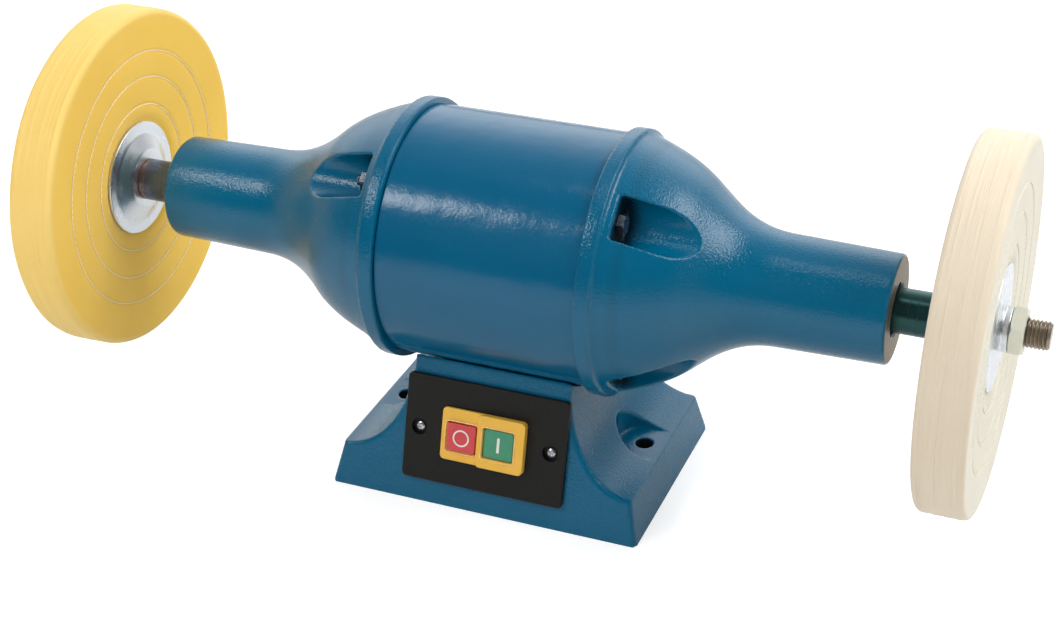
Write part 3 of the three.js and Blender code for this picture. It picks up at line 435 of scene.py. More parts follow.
def cast_enamel(place):
    """Enamel over cast iron. It is off the right arm's end. The walls of the base's foot holes are
    near-black painted shade, and the far corners of the bolt pockets are darkened as painted shade."""
    lumps = noise(place, 850)
    drift = noise(place, 25, 3)
    across = part(place, "X")
    faced = ramp(across, (arm_end - 0.25) * mm, (arm_end - 0.15) * mm)
    turning = tinted(noise(place, 700), paint(136, 122, 108), paint(176, 162, 146))
    either_side = vector("ABSOLUTE", vector("MULTIPLY", place, (1, 1, 0)))
    from_hole = vector("LENGTH", vector("SUBTRACT", either_side, (foot_x * mm, 0, 0)), out="Value")
    # painted shade: the walls of the foot holes below the spot face turn near-black and rougher, for
    # the shade inside them
    in_hole = ramp(from_hole, (foot_hole + 0.1) * mm, (foot_hole + 0.6) * mm, 1.0, 0.0)
    below = ramp(part(place, "Z"), (foot_face - 0.9) * mm, (foot_face - 0.1) * mm, 1.0, 0.0)
    painted_hole_shade = in_hole * below
    # painted shade: the far corners of the bolt pockets, by the bolt seats, turn near-black blue and
    # rougher, for the shade there
    at_bolts = ramp(abs(across), (bolt_seat + 0.8) * mm, (bolt_seat + 11) * mm, 1.0, 0.0)
    inward = ramp(off_spindle(place), pocket_corner_start * mm, pocket_corner_end * mm, 1.0, 0.0)
    painted_pocket_shade = at_bolts * inward
    enamel = tinted(drift, paint(0, 89, 122), paint(0, 97, 132))
    # the near-black blue of the painted shade in the pocket corners
    enamel = tinted(painted_pocket_shade, enamel, paint(8, 30, 42))
    return {
        # the near-black colour of the painted shade in the foot holes
        "Base Color": tinted(painted_hole_shade, tinted(faced, enamel, turning), paint(18, 20, 22)),
        "Roughness": uneven(lumps, 0.09, 0.13) + faced * 0.3 + painted_hole_shade * 0.5 + painted_pocket_shade * 0.25,
        "Metallic": faced * 0.7,
        "Specular IOR Level": 0.42,
        "Normal": bumped(lumps, 0.00025),
    }


cast_coat = finish("cast_enamel", cast_enamel)
bell_right = end_bell("cast_bell_right", wall_face_right)
bell_left = end_bell("cast_bell_left", wall_face_left)
bell_left.data.transform(Quaternion((0, 0, 1), math.pi).to_matrix().to_4x4())
seat(bell_right, "machine", "blue_paint", cast_coat, "end_bell_right")
seat(bell_left, "machine", "blue_paint", cast_coat, "end_bell_left")

# Tie bolts and nuts
# Four long M6 bolts clamp the bells on the tube: a chamfered hexagon head in each right pocket,
# and a nut on the bolt's thread in each left one. The steel is bright under a film of oil.
bolt_flats, head_start, head_end = 10, 70.3, 74.3
bolt_nut = (-75.3, -70.3)
bolt_nut_bore = (-80, -66)
shank_end = 72
bolt_tip, bolt_thread_end, bolt_thread_depth, bolt_pitch = -77.8, -69, 0.45, 1
hexagon_edge = 28


def lathed(name, outline, around, place):
    """An outline of (along, radius) points turned about X, then put in place."""
    corners, faces = skin([
        np.column_stack([np.full(around, along), circle(radius, around)])
        for along, radius in outline
    ])
    return shape(name, place(corners), faces)


def hexagon(flats, start, end, bevel, place, drop_share=0.9, slope_share=0.6):
    """A six-sided bar with its end corners turned off, as bolt heads and nuts have them, at
    both ends or only at the far one."""
    corner = flats / math.sqrt(3)
    bar = prism(circle(corner, 6), start, end, place)
    drop = (corner - flats / 2) * drop_share
    slope = drop * slope_share
    near = corner - drop if bevel == "both" else corner
    cone = lathed("cone", [
        (start, near), (start + slope, corner), (end - slope, corner), (end, corner - drop),
    ], 48, place)
    return combine(bar, [cone], "INTERSECT")


def threaded(radius, depth, pitch, start, end, hand, place, around=32, run_out=1.8):
    """A threaded rod whose crest winds along it, right-handed for a hand of 1. It tapers over
    the run-out's length at its end."""
    along = np.arange(start, end, pitch / 8)
    angle = np.linspace(0, 2 * np.pi, around, endpoint=False)
    turns = along[:, None] / pitch - hand * angle / (2 * np.pi)
    crest = np.abs(2 * (turns % 1) - 1)
    left = np.clip((end - along) / run_out, 0, 1)[:, None]
    reach = np.minimum(radius - depth * (1 - crest), radius - run_out * (1 - left))
    rings = np.stack([
        np.broadcast_to(along[:, None], reach.shape), reach * np.cos(angle), reach * np.sin(angle),
    ], -1)
    corners, faces = skin(rings)
    return shape("thread", place(corners), faces)


def dull_metal(dark, light, low, high):
    """A metal between two tints, with its roughness between two values."""
    def surface(place):
        wear = noise(place, 240, 3)
        return {
            "Base Color": tinted(wear, dark, light),
            "Metallic": 0.95,
            "Roughness": uneven(wear, low, high),
            "Normal": bumped(noise(place, 1600), 0.00003),
        }
    return surface


bolt_coat = finish("oiled_steel", dull_metal(paint(124, 134, 146), paint(158, 166, 176), 0.2, 0.32))
for number, angle in enumerate(bolt_angles, 1):
    place = round_spindle(angle)
    head = hexagon(bolt_flats, head_start, head_end, "far", place)
    shank = rod(bolt_radius, -bolt_seat, shank_end, place)
    thread = threaded(
        bolt_radius, bolt_thread_depth, bolt_pitch, bolt_tip, bolt_thread_end, -1, place)
    bolt = smooth(combine(head, [shank, thread], "UNION"), hexagon_edge)
    bolt.name = f"tie_bolt_m6_{number}"
    seat(bolt, "machine", "steel", bolt_coat, f"tie_bolt_{number}")
    nut = hexagon(bolt_flats, *bolt_nut, "both", place)
    combine(nut, [rod(bolt_radius + bolt_gap, *bolt_nut_bore, place)])
    nut.name = f"tie_nut_m6_{number}"
    seat(smooth(nut, hexagon_edge), "machine", "steel", bolt_coat, f"tie_nut_{number}")

# Spindle
# One shaft through the machine, ground at the journals and necks, with an M16 thread at each
# end: right-handed on the right, left-handed on the left. The left neck is bright with a film
# of brown oil, and the right one is blacked.
shaft_radius, journal_radius, neck_radius, shaft_edge = 15, 12.5, 12.1, 0.35
journal_start, journal_end, neck_end = 190.9, 207.2, 236.9
thread_radius, thread_depth, thread_pitch = 7.9, 1.1, 2
thread_start, thread_core_end, spindle_end = 238, 240, 288.5
oil_full, oil_none, bare_thread = -234, -222, 262


def centred(corners):
    """A place about the spindle, for a shape made along X."""
    return corners + np.array([0, 0, spindle_height])


def end_for_end(corners):
    """The same, with its ends changed round."""
    return centred(corners * np.array([-1, -1, 1]))


def spindle():
    """The shaft, from the outline of its right half and the mirror of it. The first corner is
    where the halves join, so its round is left out."""
    steps = 4
    half = eased([
        [0, 0], [0, shaft_radius], [journal_start, shaft_radius], [journal_start, journal_radius],
        [journal_end, journal_radius], [journal_end, neck_radius], [neck_end, neck_radius],
        [neck_end, thread_radius], [thread_core_end, thread_radius], [thread_core_end, 0],
    ], shaft_edge, steps)
    inner = half[steps + 2:-1].tolist()
    outline = [[-x, r] for x, r in reversed(inner)] + inner
    outline = [[outline[0][0], 0], *outline, [outline[-1][0], 0]]
    shaft = turned("spindle_ground", outline, 96)
    ends = [
        threaded(
            thread_radius, thread_depth, thread_pitch, thread_start, spindle_end, hand, place, 64)
        for hand, place in ((1, centred), (-1, end_for_end))
    ]
    return combine(shaft, ends, "UNION")


def ground_steel(place):
    across = part(place, "X")
    rings = noise(place, 900, 3, (1, 0.02, 0.02))
    film = noise(place, 60)
    bright = tinted(film, paint(78, 95, 118), paint(98, 113, 138))
    oiled = tinted(film, paint(112, 84, 60), paint(146, 116, 88))
    bright = tinted(ramp(across + film * 0.012, oil_full * mm, oil_none * mm), oiled, bright)
    blacked = tinted(film, paint(30, 66, 66), paint(44, 84, 82))
    threads = tinted(film, paint(126, 112, 98), paint(162, 150, 134))
    right = ramp(across, 0.0, 0.01)
    end = ramp(abs(across), bare_thread * mm, (bare_thread + 1) * mm)
    return {
        "Base Color": tinted(end, tinted(right, bright, blacked), threads),
        "Metallic": 0.7,
        "Roughness": uneven(rings, 0.2, 0.28),
        "Normal": bumped(rings, 0.000004),
    }


shaft = smooth(spindle(), 40)
seat(shaft, "spindle", "dark_steel", finish("ground_steel", ground_steel), "spindle_shaft")

# Flanges
# Pressed zinc-plated sheet, one dished cup each side of a buff. The outer one has a turned boss
# that the nut bears on. The plating is bright and bluish, with a faint spun grain.
clamp_near, clamp_far, wheel_bore = 244.0, 260.6, 8.2
cup_sheet, cup_offset, cup_radius, cup_lip, cup_floor = 2.2, 1, 33.65, 26, 16.5
cup_depth_inner, cup_depth_outer = 4.6, 1.4
cup_ease_inner, cup_ease_outer = 1.6, 0.9
cup_boss_face, cup_boss_radius = 7.5, 11.8


def zinc_plate(place):
    grain = {"W": off_spindle(place, 0.3), "Scale": 1300.0, "Detail": 1}
    spun = place.make("TexNoise", {"noise_dimensions": "1D"}, grain)
    cloud = noise(place, 70)
    return {
        "Base Color": tinted(cloud, paint(212, 218, 224), paint(230, 234, 238)),
        "Metallic": 0.95,
        "Roughness": uneven(cloud, 0.25, 0.32),
        "Normal": bumped(spun, 0.000003),
    }


def cup(depth, boss_face=None):
    """A cup's outline from its open side in to the bore, and back over any boss to the rim."""
    outer = depth + cup_sheet
    hub = [[outer, wheel_bore]] if boss_face is None else [
        [boss_face, wheel_bore], [boss_face, cup_boss_radius], [outer, cup_boss_radius],
    ]
    return [
        [0, cup_radius], [0, cup_lip], [depth, cup_floor], [depth, wheel_bore], *hub,
        [outer, cup_floor + cup_offset], [cup_sheet, cup_lip + cup_offset], [cup_sheet, cup_radius],
    ]


zinc_coat = finish("zinc_plate", zinc_plate)
for side, word in ((1, "right"), (-1, "left")):
    for kind, outline, ease, face, out in (
        ("inner", cup(cup_depth_inner), cup_ease_inner, clamp_near, -1),
        ("outer", cup(cup_depth_outer, cup_boss_face), cup_ease_outer, clamp_far, 1),
    ):
        outline = [[side * (face + out * x), r] for x, r in eased(outline, ease, 6)]
        flange = smooth(turned(f"cup_{kind}_{word}", outline, 160), 50)
        seat(flange, "spindle", "zinc", zinc_coat, f"{kind}_flange_{word}")

# Wheel nuts
# M16 hexagon nuts in a dull pale zinc plate, chamfered on both faces. Each clamps a pair of
# flanges on its buff, and stands with a corner up.
wheel_nut_flats = 24
wheel_nut = (268.4, 275.6)
wheel_nut_bore = (260, 280)


def dull_zinc(place):
    cloud = noise(place, 160, 3)
    return {
        "Base Color": tinted(cloud, paint(222, 222, 206), paint(238, 238, 224)),
        "Metallic": 0.45,
        "Roughness": uneven(cloud, 0.3, 0.42),
        "Normal": bumped(noise(place, 1500), 0.00002),
    }


def corner_up(side):
    """A place on one side of the spindle, for a hexagon that stands on a corner."""
    return lambda corners: np.column_stack([
        side * corners[:, 0], side * corners[:, 2], spindle_height - corners[:, 1],
    ])


nut_coat = finish("dull_zinc", dull_zinc)
for side, word in ((1, "right"), (-1, "left")):
    place = corner_up(side)
    nut = hexagon(wheel_nut_flats, *wheel_nut, "both", place)
    combine(nut, [rod(wheel_bore, *wheel_nut_bore, place, 64)])
    nut.name = f"nut_m16_{word}"
    seat(smooth(nut, hexagon_edge), "spindle", "zinc", nut_coat, f"wheel_nut_{word}")

# Buffs
# Some twenty plies of cotton sewn in three rings, pinched flat by the flanges. Outside the last
# row of stitches the plies stand loose, so the rim is wider, soft and a little uneven, and each
# ply's cut edge shows as a fine line. The left buff is dyed yellow, and the right one is raw.
buff_middle, buff_half, buff_rim, buff_round, round_start = 252.3, 13.5, 99.8, 3.4, 96.4
face_radii, face_halves = (0, 34, 36.5, 96.6), (8, 8, 10.55, 13.4)
stitch_rows, row_depth, row_width = (43.8, 60.15, 75.5), 0.6, 1.0
sewn_start, sewn_end, loose_start, loose_width = 42, 78, 80, 20
ply_count, ply_wave, ply_step, ply_groove = 22, 0.07, 0.06, 0.2
ply_edge_start, ply_edge_width = 95, 4
thread_thickness, stitch_pitch, stitch_share, stitch_shift_share = 0.36, 3.8, 0.98, 0.02
rng = np.random.default_rng(7)


def waves(angle, count, tall):
    """A smooth random wave round the circle."""
    total = np.zeros_like(angle)
    for cycles in range(2, 2 + count):
        height = rng.normal(0, 1 / math.sqrt(cycles))
        total += height * np.sin(cycles * angle + rng.uniform(0, 2 * np.pi))
    return total * tall


def face_depth(radius):
    """How far a buff's face stands from its middle plane at a radius."""
    spread = np.interp(radius, face_radii, face_halves)
    rows = sum(row_depth * np.exp(-(((radius - row) / row_width) ** 2)) for row in stitch_rows)
    return spread - rows


def buff(name, side):
    """The plies as one skin, loose and uneven outside the stitches and grooved at the rim."""
    around = 384
    rim_points = 17 * 4 + 1
    flat_half = buff_half - buff_round
    angle = np.linspace(0, 2 * np.pi, around, endpoint=False)
    radii = np.concatenate([
        np.linspace(wheel_bore, sewn_start, 12), np.linspace(sewn_start + 0.4, sewn_end, 84),
        np.linspace(sewn_end + 1, round_start, 16),
    ])
    face = np.column_stack([face_depth(radii), radii])
    turn = np.linspace(0, np.pi / 2, 7)[1:]
    edge_round = np.column_stack([
        flat_half + buff_round * np.cos(turn), round_start + buff_round * np.sin(turn),
    ])
    rim = np.column_stack([
        np.linspace(flat_half, -flat_half, rim_points)[1:-1], np.full(rim_points - 2, buff_rim),
    ])
    upper = np.vstack([face, edge_round])
    outline = np.vstack([upper, rim, (upper * [-1, 1])[::-1]])
    out = outline[:, :1] + np.zeros(around)
    reach = outline[:, 1:] + np.zeros(around)
    loose = np.clip((outline[:, 1:] - loose_start) / loose_width, 0, 1)
    out += loose * waves(angle, 5, 0.18)
    plies = (outline[:, :1] + buff_half) / (2 * buff_half / ply_count)
    ply = np.clip(plies[:, 0].astype(int), 0, ply_count - 1)
    edge = np.array([waves(angle, 9, ply_wave) + rng.normal(0, ply_step) for _ in range(ply_count)])
    seam = np.abs(plies % 1 - 0.5) * 2
    at_rim = np.clip((outline[:, 1:] - ply_edge_start) / ply_edge_width, 0, 1)
    reach += at_rim * (edge[ply] - ply_groove * np.clip((seam - 0.6) / 0.4, 0, 1))
    rings = np.stack([
        side * (buff_middle + out), -side * reach * np.sin(angle),
        spindle_height + reach * np.cos(angle),
    ], -1)
    return shape(name, *skin(rings, closed=True))


def stitches(name, side):
    """The sewing thread's visible stitches on both faces, as one mesh of short rounded runs."""
    section = circle(thread_thickness, 6)
    half_share = stitch_share / 2
    lift = np.array([-0.02, 0.34, 0.44, 0.46, 0.44, 0.34, -0.02])
    thick_shares = np.array([0.7, 0.95, 1, 1, 1, 0.95, 0.7])
    corners, faces, start = [], [], 0
    for face in (1, -1):
        for row in stitch_rows:
            count = round(2 * np.pi * row / stitch_pitch)
            span = 2 * np.pi / count
            out = face * (face_depth(np.array(row)) + lift)
            for k in range(count):
                shift = rng.normal(0, stitch_shift_share) * span
                along = np.linspace(-half_share, half_share, 7) * span + k * span + shift
                rings = []
                for a, o, t in zip(along, out, thick_shares):
                    r = row + section[:, 0] * t
                    rings.append(np.column_stack([
                        side * (buff_middle + o + section[:, 1] * t),
                        -side * r * math.sin(a), spindle_height + r * math.cos(a),
                    ]))
                run, sides = skin(rings)
                corners.append(run)
                faces += [[start + i for i in side_face] for side_face in sides]
                start += len(run)
    return shape(name, np.vstack(corners), faces)


def cotton(face_dark, face_light, rim_dark, rim_light):
    """Woven cotton on a buff's faces and the brushed edges of its plies on the rim."""
    weave_scale = 9000.0

    def surface(place):
        on_rim = ramp(off_spindle(place), 0.0945, 0.0985)
        layers = noise(place, 1000, 2, (1, 0.03, 0.03))
        cloud = noise(place, 30, 3)
        fuzz = noise(place, 1800, 3)
        warp = place.maths("SINE", part(place, "Y") * weave_scale)
        weft = place.maths("SINE", part(place, "Z") * weave_scale)
        weave = warp * weft * (1 - on_rim)
        face_tint = tinted(cloud, face_dark, face_light)
        rim_tint = tinted(cloud * 0.6 + layers * 0.4, rim_dark, rim_light)
        return {
            "Base Color": tinted(on_rim, face_tint, rim_tint),
            "Roughness": 0.95,
            "Specular IOR Level": 0.1,
            "Sheen Weight": 0.35,
            "Sheen Roughness": 0.4,
            "Normal": bumped(fuzz * 0.6 + weave * 0.2 + layers * on_rim * 0.5, 0.00012),
        }

    return surface


def thread_cotton(dark, light):
    """Sewing thread, with its twist as a fine bump."""
    def surface(place):
        twist = noise(place, 3000)
        return {
            "Base Color": tinted(twist, dark, light),
            "Roughness": 0.9,
            "Normal": bumped(twist, 0.0001),
        }
    return surface


for side, word, node, slot, tints, sewn in (
    (1, "raw", "buff_white", "white_cotton",
     (paint(217, 211, 192), paint(229, 223, 206), paint(224, 208, 183), paint(236, 223, 202)),
     (paint(234, 226, 208), paint(246, 240, 226))),
    (-1, "dyed", "buff_yellow", "yellow_cotton",
     (paint(246, 197, 78), paint(253, 210, 96), paint(245, 205, 108), paint(252, 221, 138)),
     (paint(254, 232, 184), paint(254, 242, 212))),
):
    wheel = buff(f"plies_{word}", side)
    wheel.data.shade_smooth()
    seat(wheel, "spindle", slot, finish(f"cotton_{word}", cotton(*tints)), node)
    sewing = stitches(f"stitches_{word}", side)
    sewing.data.shade_smooth()
    sewing.data.materials.append(finish(f"thread_{word}", thread_cotton(*sewn)))
    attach(sewing, "spindle")

# Base casting
# A hollow block: a drafted rim, sides that sweep up to a narrow neck, leaning front and back
# faces, a saddle for the motor and a bolt pocket at each side. It is lofted and cut, softened
# like the bells, and has their enamel, which all but fills the gap at the saddle.
base_half, base_half_depth, base_corner, base_wall = 91.8, 66, 2.4, 5
rim_height, neck_height, neck_half, loft_top = 24.4, 82, 46.4, 92
draft, face_lean = math.radians(12.5), 15
rim_half = base_half - rim_height * math.tan(draft)
saddle_radius, saddle_hollow, saddle_reach, land_radius = 70.6, 77.2, 184, 70.3
land_half_x, land_half_y, land_low, land_high = 38, 20, 63.8, 76
saddle_drill = (56, 74)
foot_pocket, foot_boss, foot_drill_end = 16, 9, 30
cover_screw_x, cover_screw_y, cover_screw_hole, cover_screw_depth = 78, 50, 2.05, 14.3
cover_boss, cover_boss_start = 4.5, 5.3
plate_middle, plate_screw_x, plate_screw_hole, plate_screw_depth = 44.95, 39.1, 1.9, 13
switch_cut_x, switch_cut_y, face_cut_depth, cut_corner = 22.7, 13.9, 9, 0.5
gland_x, gland_up, gland_hole = -45, 30, 8.3


def half_width(height, wall):
    """Half the block's width at a height: its drafted rim, or its sweep where that is less."""
    rim = base_half - height * math.tan(draft) - wall
    share = (neck_height - height) / (neck_height - rim_height + wall)
    if share >= 1:
        return rim
    sweep = rim_half - (rim_half - neck_half + wall) * math.sqrt(1 - max(share, 0) ** 2)
    return min(rim, sweep)


def rounded_ring(half_x, half_y, radius, height, steps):
    """A rounded rectangle of corners at one height."""
    angle = np.radians(np.linspace(0, 90, steps + 1))
    turn = np.concatenate([angle + math.radians(90 * k) for k in range(4)])
    sign_x = np.repeat([1, -1, -1, 1], steps + 1)
    sign_y = np.repeat([1, 1, -1, -1], steps + 1)
    return np.column_stack([
        sign_x * (half_x - radius) + radius * np.cos(turn),
        sign_y * (half_y - radius) + radius * np.sin(turn),
        np.full(len(turn), height),
    ])


def base_loft(bottom, wall, levels):
    """The block's skin, drawn in by a wall."""
    reach = neck_height - rim_height + wall
    turns = np.linspace(0, np.pi / 2, levels)
    heights = [bottom, *[neck_height - reach * math.cos(turn) for turn in turns], loft_top]
    rings = []
    for height in heights:
        half_depth = base_half_depth - height * math.tan(math.radians(face_lean)) - wall
        rings.append(rounded_ring(half_width(height, wall), half_depth, base_corner, height, 4))
    return shape("loft", *skin(rings))


def side_pocket(radius, low, side):
    """A round-ended cut that opens through one side of the base, from a height upwards."""
    def place(corners):
        return np.column_stack([
            side * (foot_x + corners[:, 2]), side * -corners[:, 1], corners[:, 0],
        ])
    return prism(trough(radius, base_half, 32)[::-1], low, low + neck_height, place)


def along_spindle(radius):
    """A cut through the whole base about the spindle's axis."""
    return rod(radius, -saddle_reach, saddle_reach, centred, 192)


def face_place(corners):
    """From the front face's own frame (across, up the slope, out) to the machine's."""
    lean = math.radians(90 - face_lean)
    x, y, z = corners[:, 0], corners[:, 1], corners[:, 2]
    return np.column_stack([
        x, y * math.cos(lean) - z * math.sin(lean) - base_half_depth,
        y * math.sin(lean) + z * math.cos(lean),
    ])


def back_place(corners):
    """The same for the back face."""
    return face_place(corners) * np.array([-1, -1, 1])


def as_drawn(corners):
    return corners


def slab(half_x, half_y, radius, low, high, ease, place, steps=6, least_corner=0.05):
    """A rounded slab from low to high whose upper edge is rounded off by the ease."""
    rings = [rounded_ring(half_x, half_y, radius, low, steps)]
    for turn in np.linspace(0, np.pi / 2, 5 if ease else 1):
        inset = ease * (1 - math.cos(turn))
        level = high - ease + ease * math.sin(turn)
        corner = max(radius - inset, least_corner)
        rings.append(rounded_ring(half_x - inset, half_y - inset, corner, level, steps))
    corners, faces = skin(rings)
    return shape("slab", place(corners), faces)


def shifted(place, x, y):
    """A place moved across and up before it is put on its face."""
    return lambda corners: place(corners + np.array([x, y, 0]))


def upright(place, x, y):
    """A prism along its face's outward axis, at a point of that face."""
    stand = standing(x, y)
    return lambda corners: place(stand(corners))


def base_block():
    """The lofted block, with its hollow, pockets, land, holes and openings."""
    hollow = combine(base_loft(-overrun, base_wall, 24), [along_spindle(saddle_hollow)])
    fillers = []
    for side in (-1, 1):
        fillers.append(side_pocket(foot_pocket + base_wall, foot_face - base_wall, side))
        fillers.append(rod(foot_boss, 0, foot_face, standing(side * foot_x, 0), 32))
        for depth in (-1, 1):
            place = standing(side * cover_screw_x, depth * cover_screw_y)
            fillers.append(rod(cover_boss, cover_boss_start, rim_height, place))
    combine(hollow, fillers)
    block = base_loft(0, 0, 48)
    pockets = [side_pocket(foot_pocket, foot_face, side) for side in (-1, 1)]
    combine(block, [along_spindle(saddle_radius), *pockets, hollow])
    land = slab(land_half_x, land_half_y, cut_corner, land_low, land_high, 0, as_drawn)
    combine(land, [along_spindle(land_radius)])
    combine(block, [land], "UNION")
    cuts = [rod(lead_hole, *saddle_drill, standing(lead_x, 0), 32)]
    for side in (-1, 1):
        cuts.append(rod(foot_hole, -overrun, foot_drill_end, standing(side * foot_x, 0), 32))
        cuts.append(rod(saddle_bolt_hole, *saddle_drill, standing(side * saddle_bolt_x, 0)))
        place = upright(face_place, side * plate_screw_x, plate_middle)
        cuts.append(rod(plate_screw_hole, -plate_screw_depth, overrun, place, 16))
        for depth in (-1, 1):
            place = standing(side * cover_screw_x, depth * cover_screw_y)
            cuts.append(rod(cover_screw_hole, -overrun, cover_screw_depth, place, 16))
    place = shifted(face_place, 0, plate_middle)
    cuts.append(slab(switch_cut_x, switch_cut_y, cut_corner, -face_cut_depth, overrun, 0, place))
    place = upright(back_place, gland_x, gland_up)
    cuts.append(rod(gland_hole, -face_cut_depth, overrun, place, 32))
    combine(block, cuts)
    return soften(block, cast_voxel, 2)


base = base_block()
base.name = "cast_base"
seat(base, "machine", "blue_paint", cast_coat, "base_casting")

# Switch plate
# A moulded black plate on the leaning front face, with a small round on its edges, a counterbore
# for each screw and a cut-out for the switch. Its moulded grain is fine and dull.
plate_half_x, plate_half_y, plate_corner, plate_ease = 48, 30.65, 2.6, 0.9
plate_back, plate_face, plate_cut_corner = 0.3, 3.5, 0.6
plate_cut_start, plate_cut_end = -1, 8
counterbore, counterbore_floor = 4.7, 0.9


def black_plastic(place):
    grain = noise(place, 1100, 3)
    return {
        "Base Color": tinted(grain, paint(14, 14, 12), paint(21, 20, 18)),
        "Roughness": uneven(grain, 0.42, 0.58),
        "Specular IOR Level": 0.4,
        "Normal": bumped(grain, 0.00006),
    }


black_coat = finish("black_plastic", black_plastic)
on_plate = shifted(face_place, 0, plate_middle)
at_screws = [upright(on_plate, x, 0) for x in (-plate_screw_x, plate_screw_x)]
plate = slab(plate_half_x, plate_half_y, plate_corner, plate_back, plate_face, plate_ease, on_plate)
combine(plate, [
    slab(switch_cut_x, switch_cut_y, plate_cut_corner, plate_cut_start, plate_cut_end, 0, on_plate),
    *[rod(counterbore, counterbore_floor, plate_cut_end, place, 48) for place in at_screws],
    *[rod(plate_screw_hole, plate_cut_start, plate_cut_end, place) for place in at_screws],
])
plate.name = "plate_moulded"
seat(smooth(plate), "machine", "black_plastic", black_coat, "switch_plate")

# Plate screws
# Zinc-plated pan heads with a cross recess, one in each counterbore. Each stopped at its own
# turn when it was tightened, so the two crosses differ.
screw_outline = [
    [-9, 0], [-9, 1.6], [1.2, 1.6], [1.2, 2.7], [1.9, 2.6], [2.5, 1.6], [2.5, 0],
]
screw_ease, recess_reach, recess_half = 0.3, 1.6, 0.35
recess = (1.5, 5)
for word, place, turn in (("left", at_screws[0], 0.5), ("right", at_screws[1], 1.1)):
    screw = lathed(f"screw_cross_{word}", eased(screw_outline, screw_ease)[1:-1], 32, place)
    for quarter in (0, math.pi / 2):
        c, s = math.cos(turn + quarter), math.sin(turn + quarter)
        bar = np.array([[-1, -1], [1, -1], [1, 1], [-1, 1]]) * [recess_reach, recess_half]
        combine(screw, [prism(bar @ np.array([[c, s], [-s, c]]), *recess, place)])
    seat(smooth(screw, 30), "machine", "zinc", zinc_coat, f"plate_screw_{word}")

# Switch frame
# A yellow moulding on the plate, with a higher collar round the green button so that the stop
# button stands clear. Its edges are rounded and its windows are flared. A paler, half-clear lip
# of soft plastic stands round each window and keeps dust out.
frame_half_x, frame_half_y, frame_corner, frame_ease = 25, 15.2, 2.6, 0.7
frame_back, frame_face, collar_face = 3.8, 5.6, 8.0
collar_half_x, collar_x = 14, 11
window_gap, window_corner = 0.35, 1
off_size, off_centre, off_lip_top = (17, 16), (-12.4, -0.8), 6.9
on_size, on_centre, on_lip_top = (17.4, 16.8), (9.8, -0.4), 8.6


def moulded(dark, light):
    """A glossy moulded plastic of one colour, a little lighter in patches."""
    def surface(place):
        cloud = noise(place, 90)
        return {
            "Base Color": tinted(cloud, dark, light),
            "Roughness": uneven(cloud, 0.3, 0.4),
            "Subsurface Weight": 0.1,
            "Subsurface Radius": (0.002, 0.001, 0.0006),
            "Normal": bumped(noise(place, 1500), 0.00002),
        }
    return surface


def window(size, centre, face):
    """A tool that cuts a rounded window, flared where it meets the face."""
    half_x, half_y = size[0] / 2 + window_gap, size[1] / 2 + window_gap
    corners, faces = skin([
        rounded_ring(half_x + flare, half_y + flare, window_corner + flare, level, 5)
        for level, flare in (
            (0, 0), (face - 0.5, 0), (face - 0.15, 0.12), (face + 0.05, 0.4), (face + 3, 0.4),
        )
    ])
    return shape("window", shifted(on_plate, *centre)(corners), faces)


def soft_lip(place):
    cloud = noise(place, 140)
    return {
        "Base Color": tinted(cloud, paint(242, 192, 108), paint(250, 214, 146)),
        "Roughness": uneven(cloud, 0.22, 0.34),
        "Subsurface Weight": 0.3,
        "Subsurface Radius": (0.002, 0.0014, 0.0008),
    }


surround = slab(
    frame_half_x, frame_half_y, frame_corner, frame_back, frame_face, frame_ease, on_plate, 8)
collar = slab(
    collar_half_x, frame_half_y, frame_corner, frame_back, collar_face, frame_ease,
    shifted(on_plate, collar_x, 0), 8)
combine(surround, [collar], "UNION")
combine(surround, [
    window(off_size, off_centre, frame_face), window(on_size, on_centre, collar_face),
])
surround.name = "frame_yellow"
yellow_coat = finish("yellow_plastic", moulded(paint(236, 180, 62), paint(246, 196, 84)))
seat(smooth(surround, 30), "machine", "yellow_plastic", yellow_coat, "switch_frame")
lip_coat = finish("soft_lip", soft_lip)
for word, size, centre, face, top in (
    ("off", off_size, off_centre, frame_face, off_lip_top),
    ("on", on_size, on_centre, collar_face, on_lip_top),
):
    corners, faces = skin([
        rounded_ring(size[0] / 2 + out, size[1] / 2 + out, window_corner + out, level, 5)
        for out, level in (
            (0.8, face - 0.2), (0.8, top - 0.2), (1.0, top),
            (1.3, top), (1.55, top - 0.25), (1.7, face - 0.2),
        )
    ], closed=True)
    lip = shape(f"lip_{word}", shifted(on_plate, *centre)(corners), faces)
    smooth(lip, 30).data.materials.append(lip_coat)
    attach(lip, "machine")

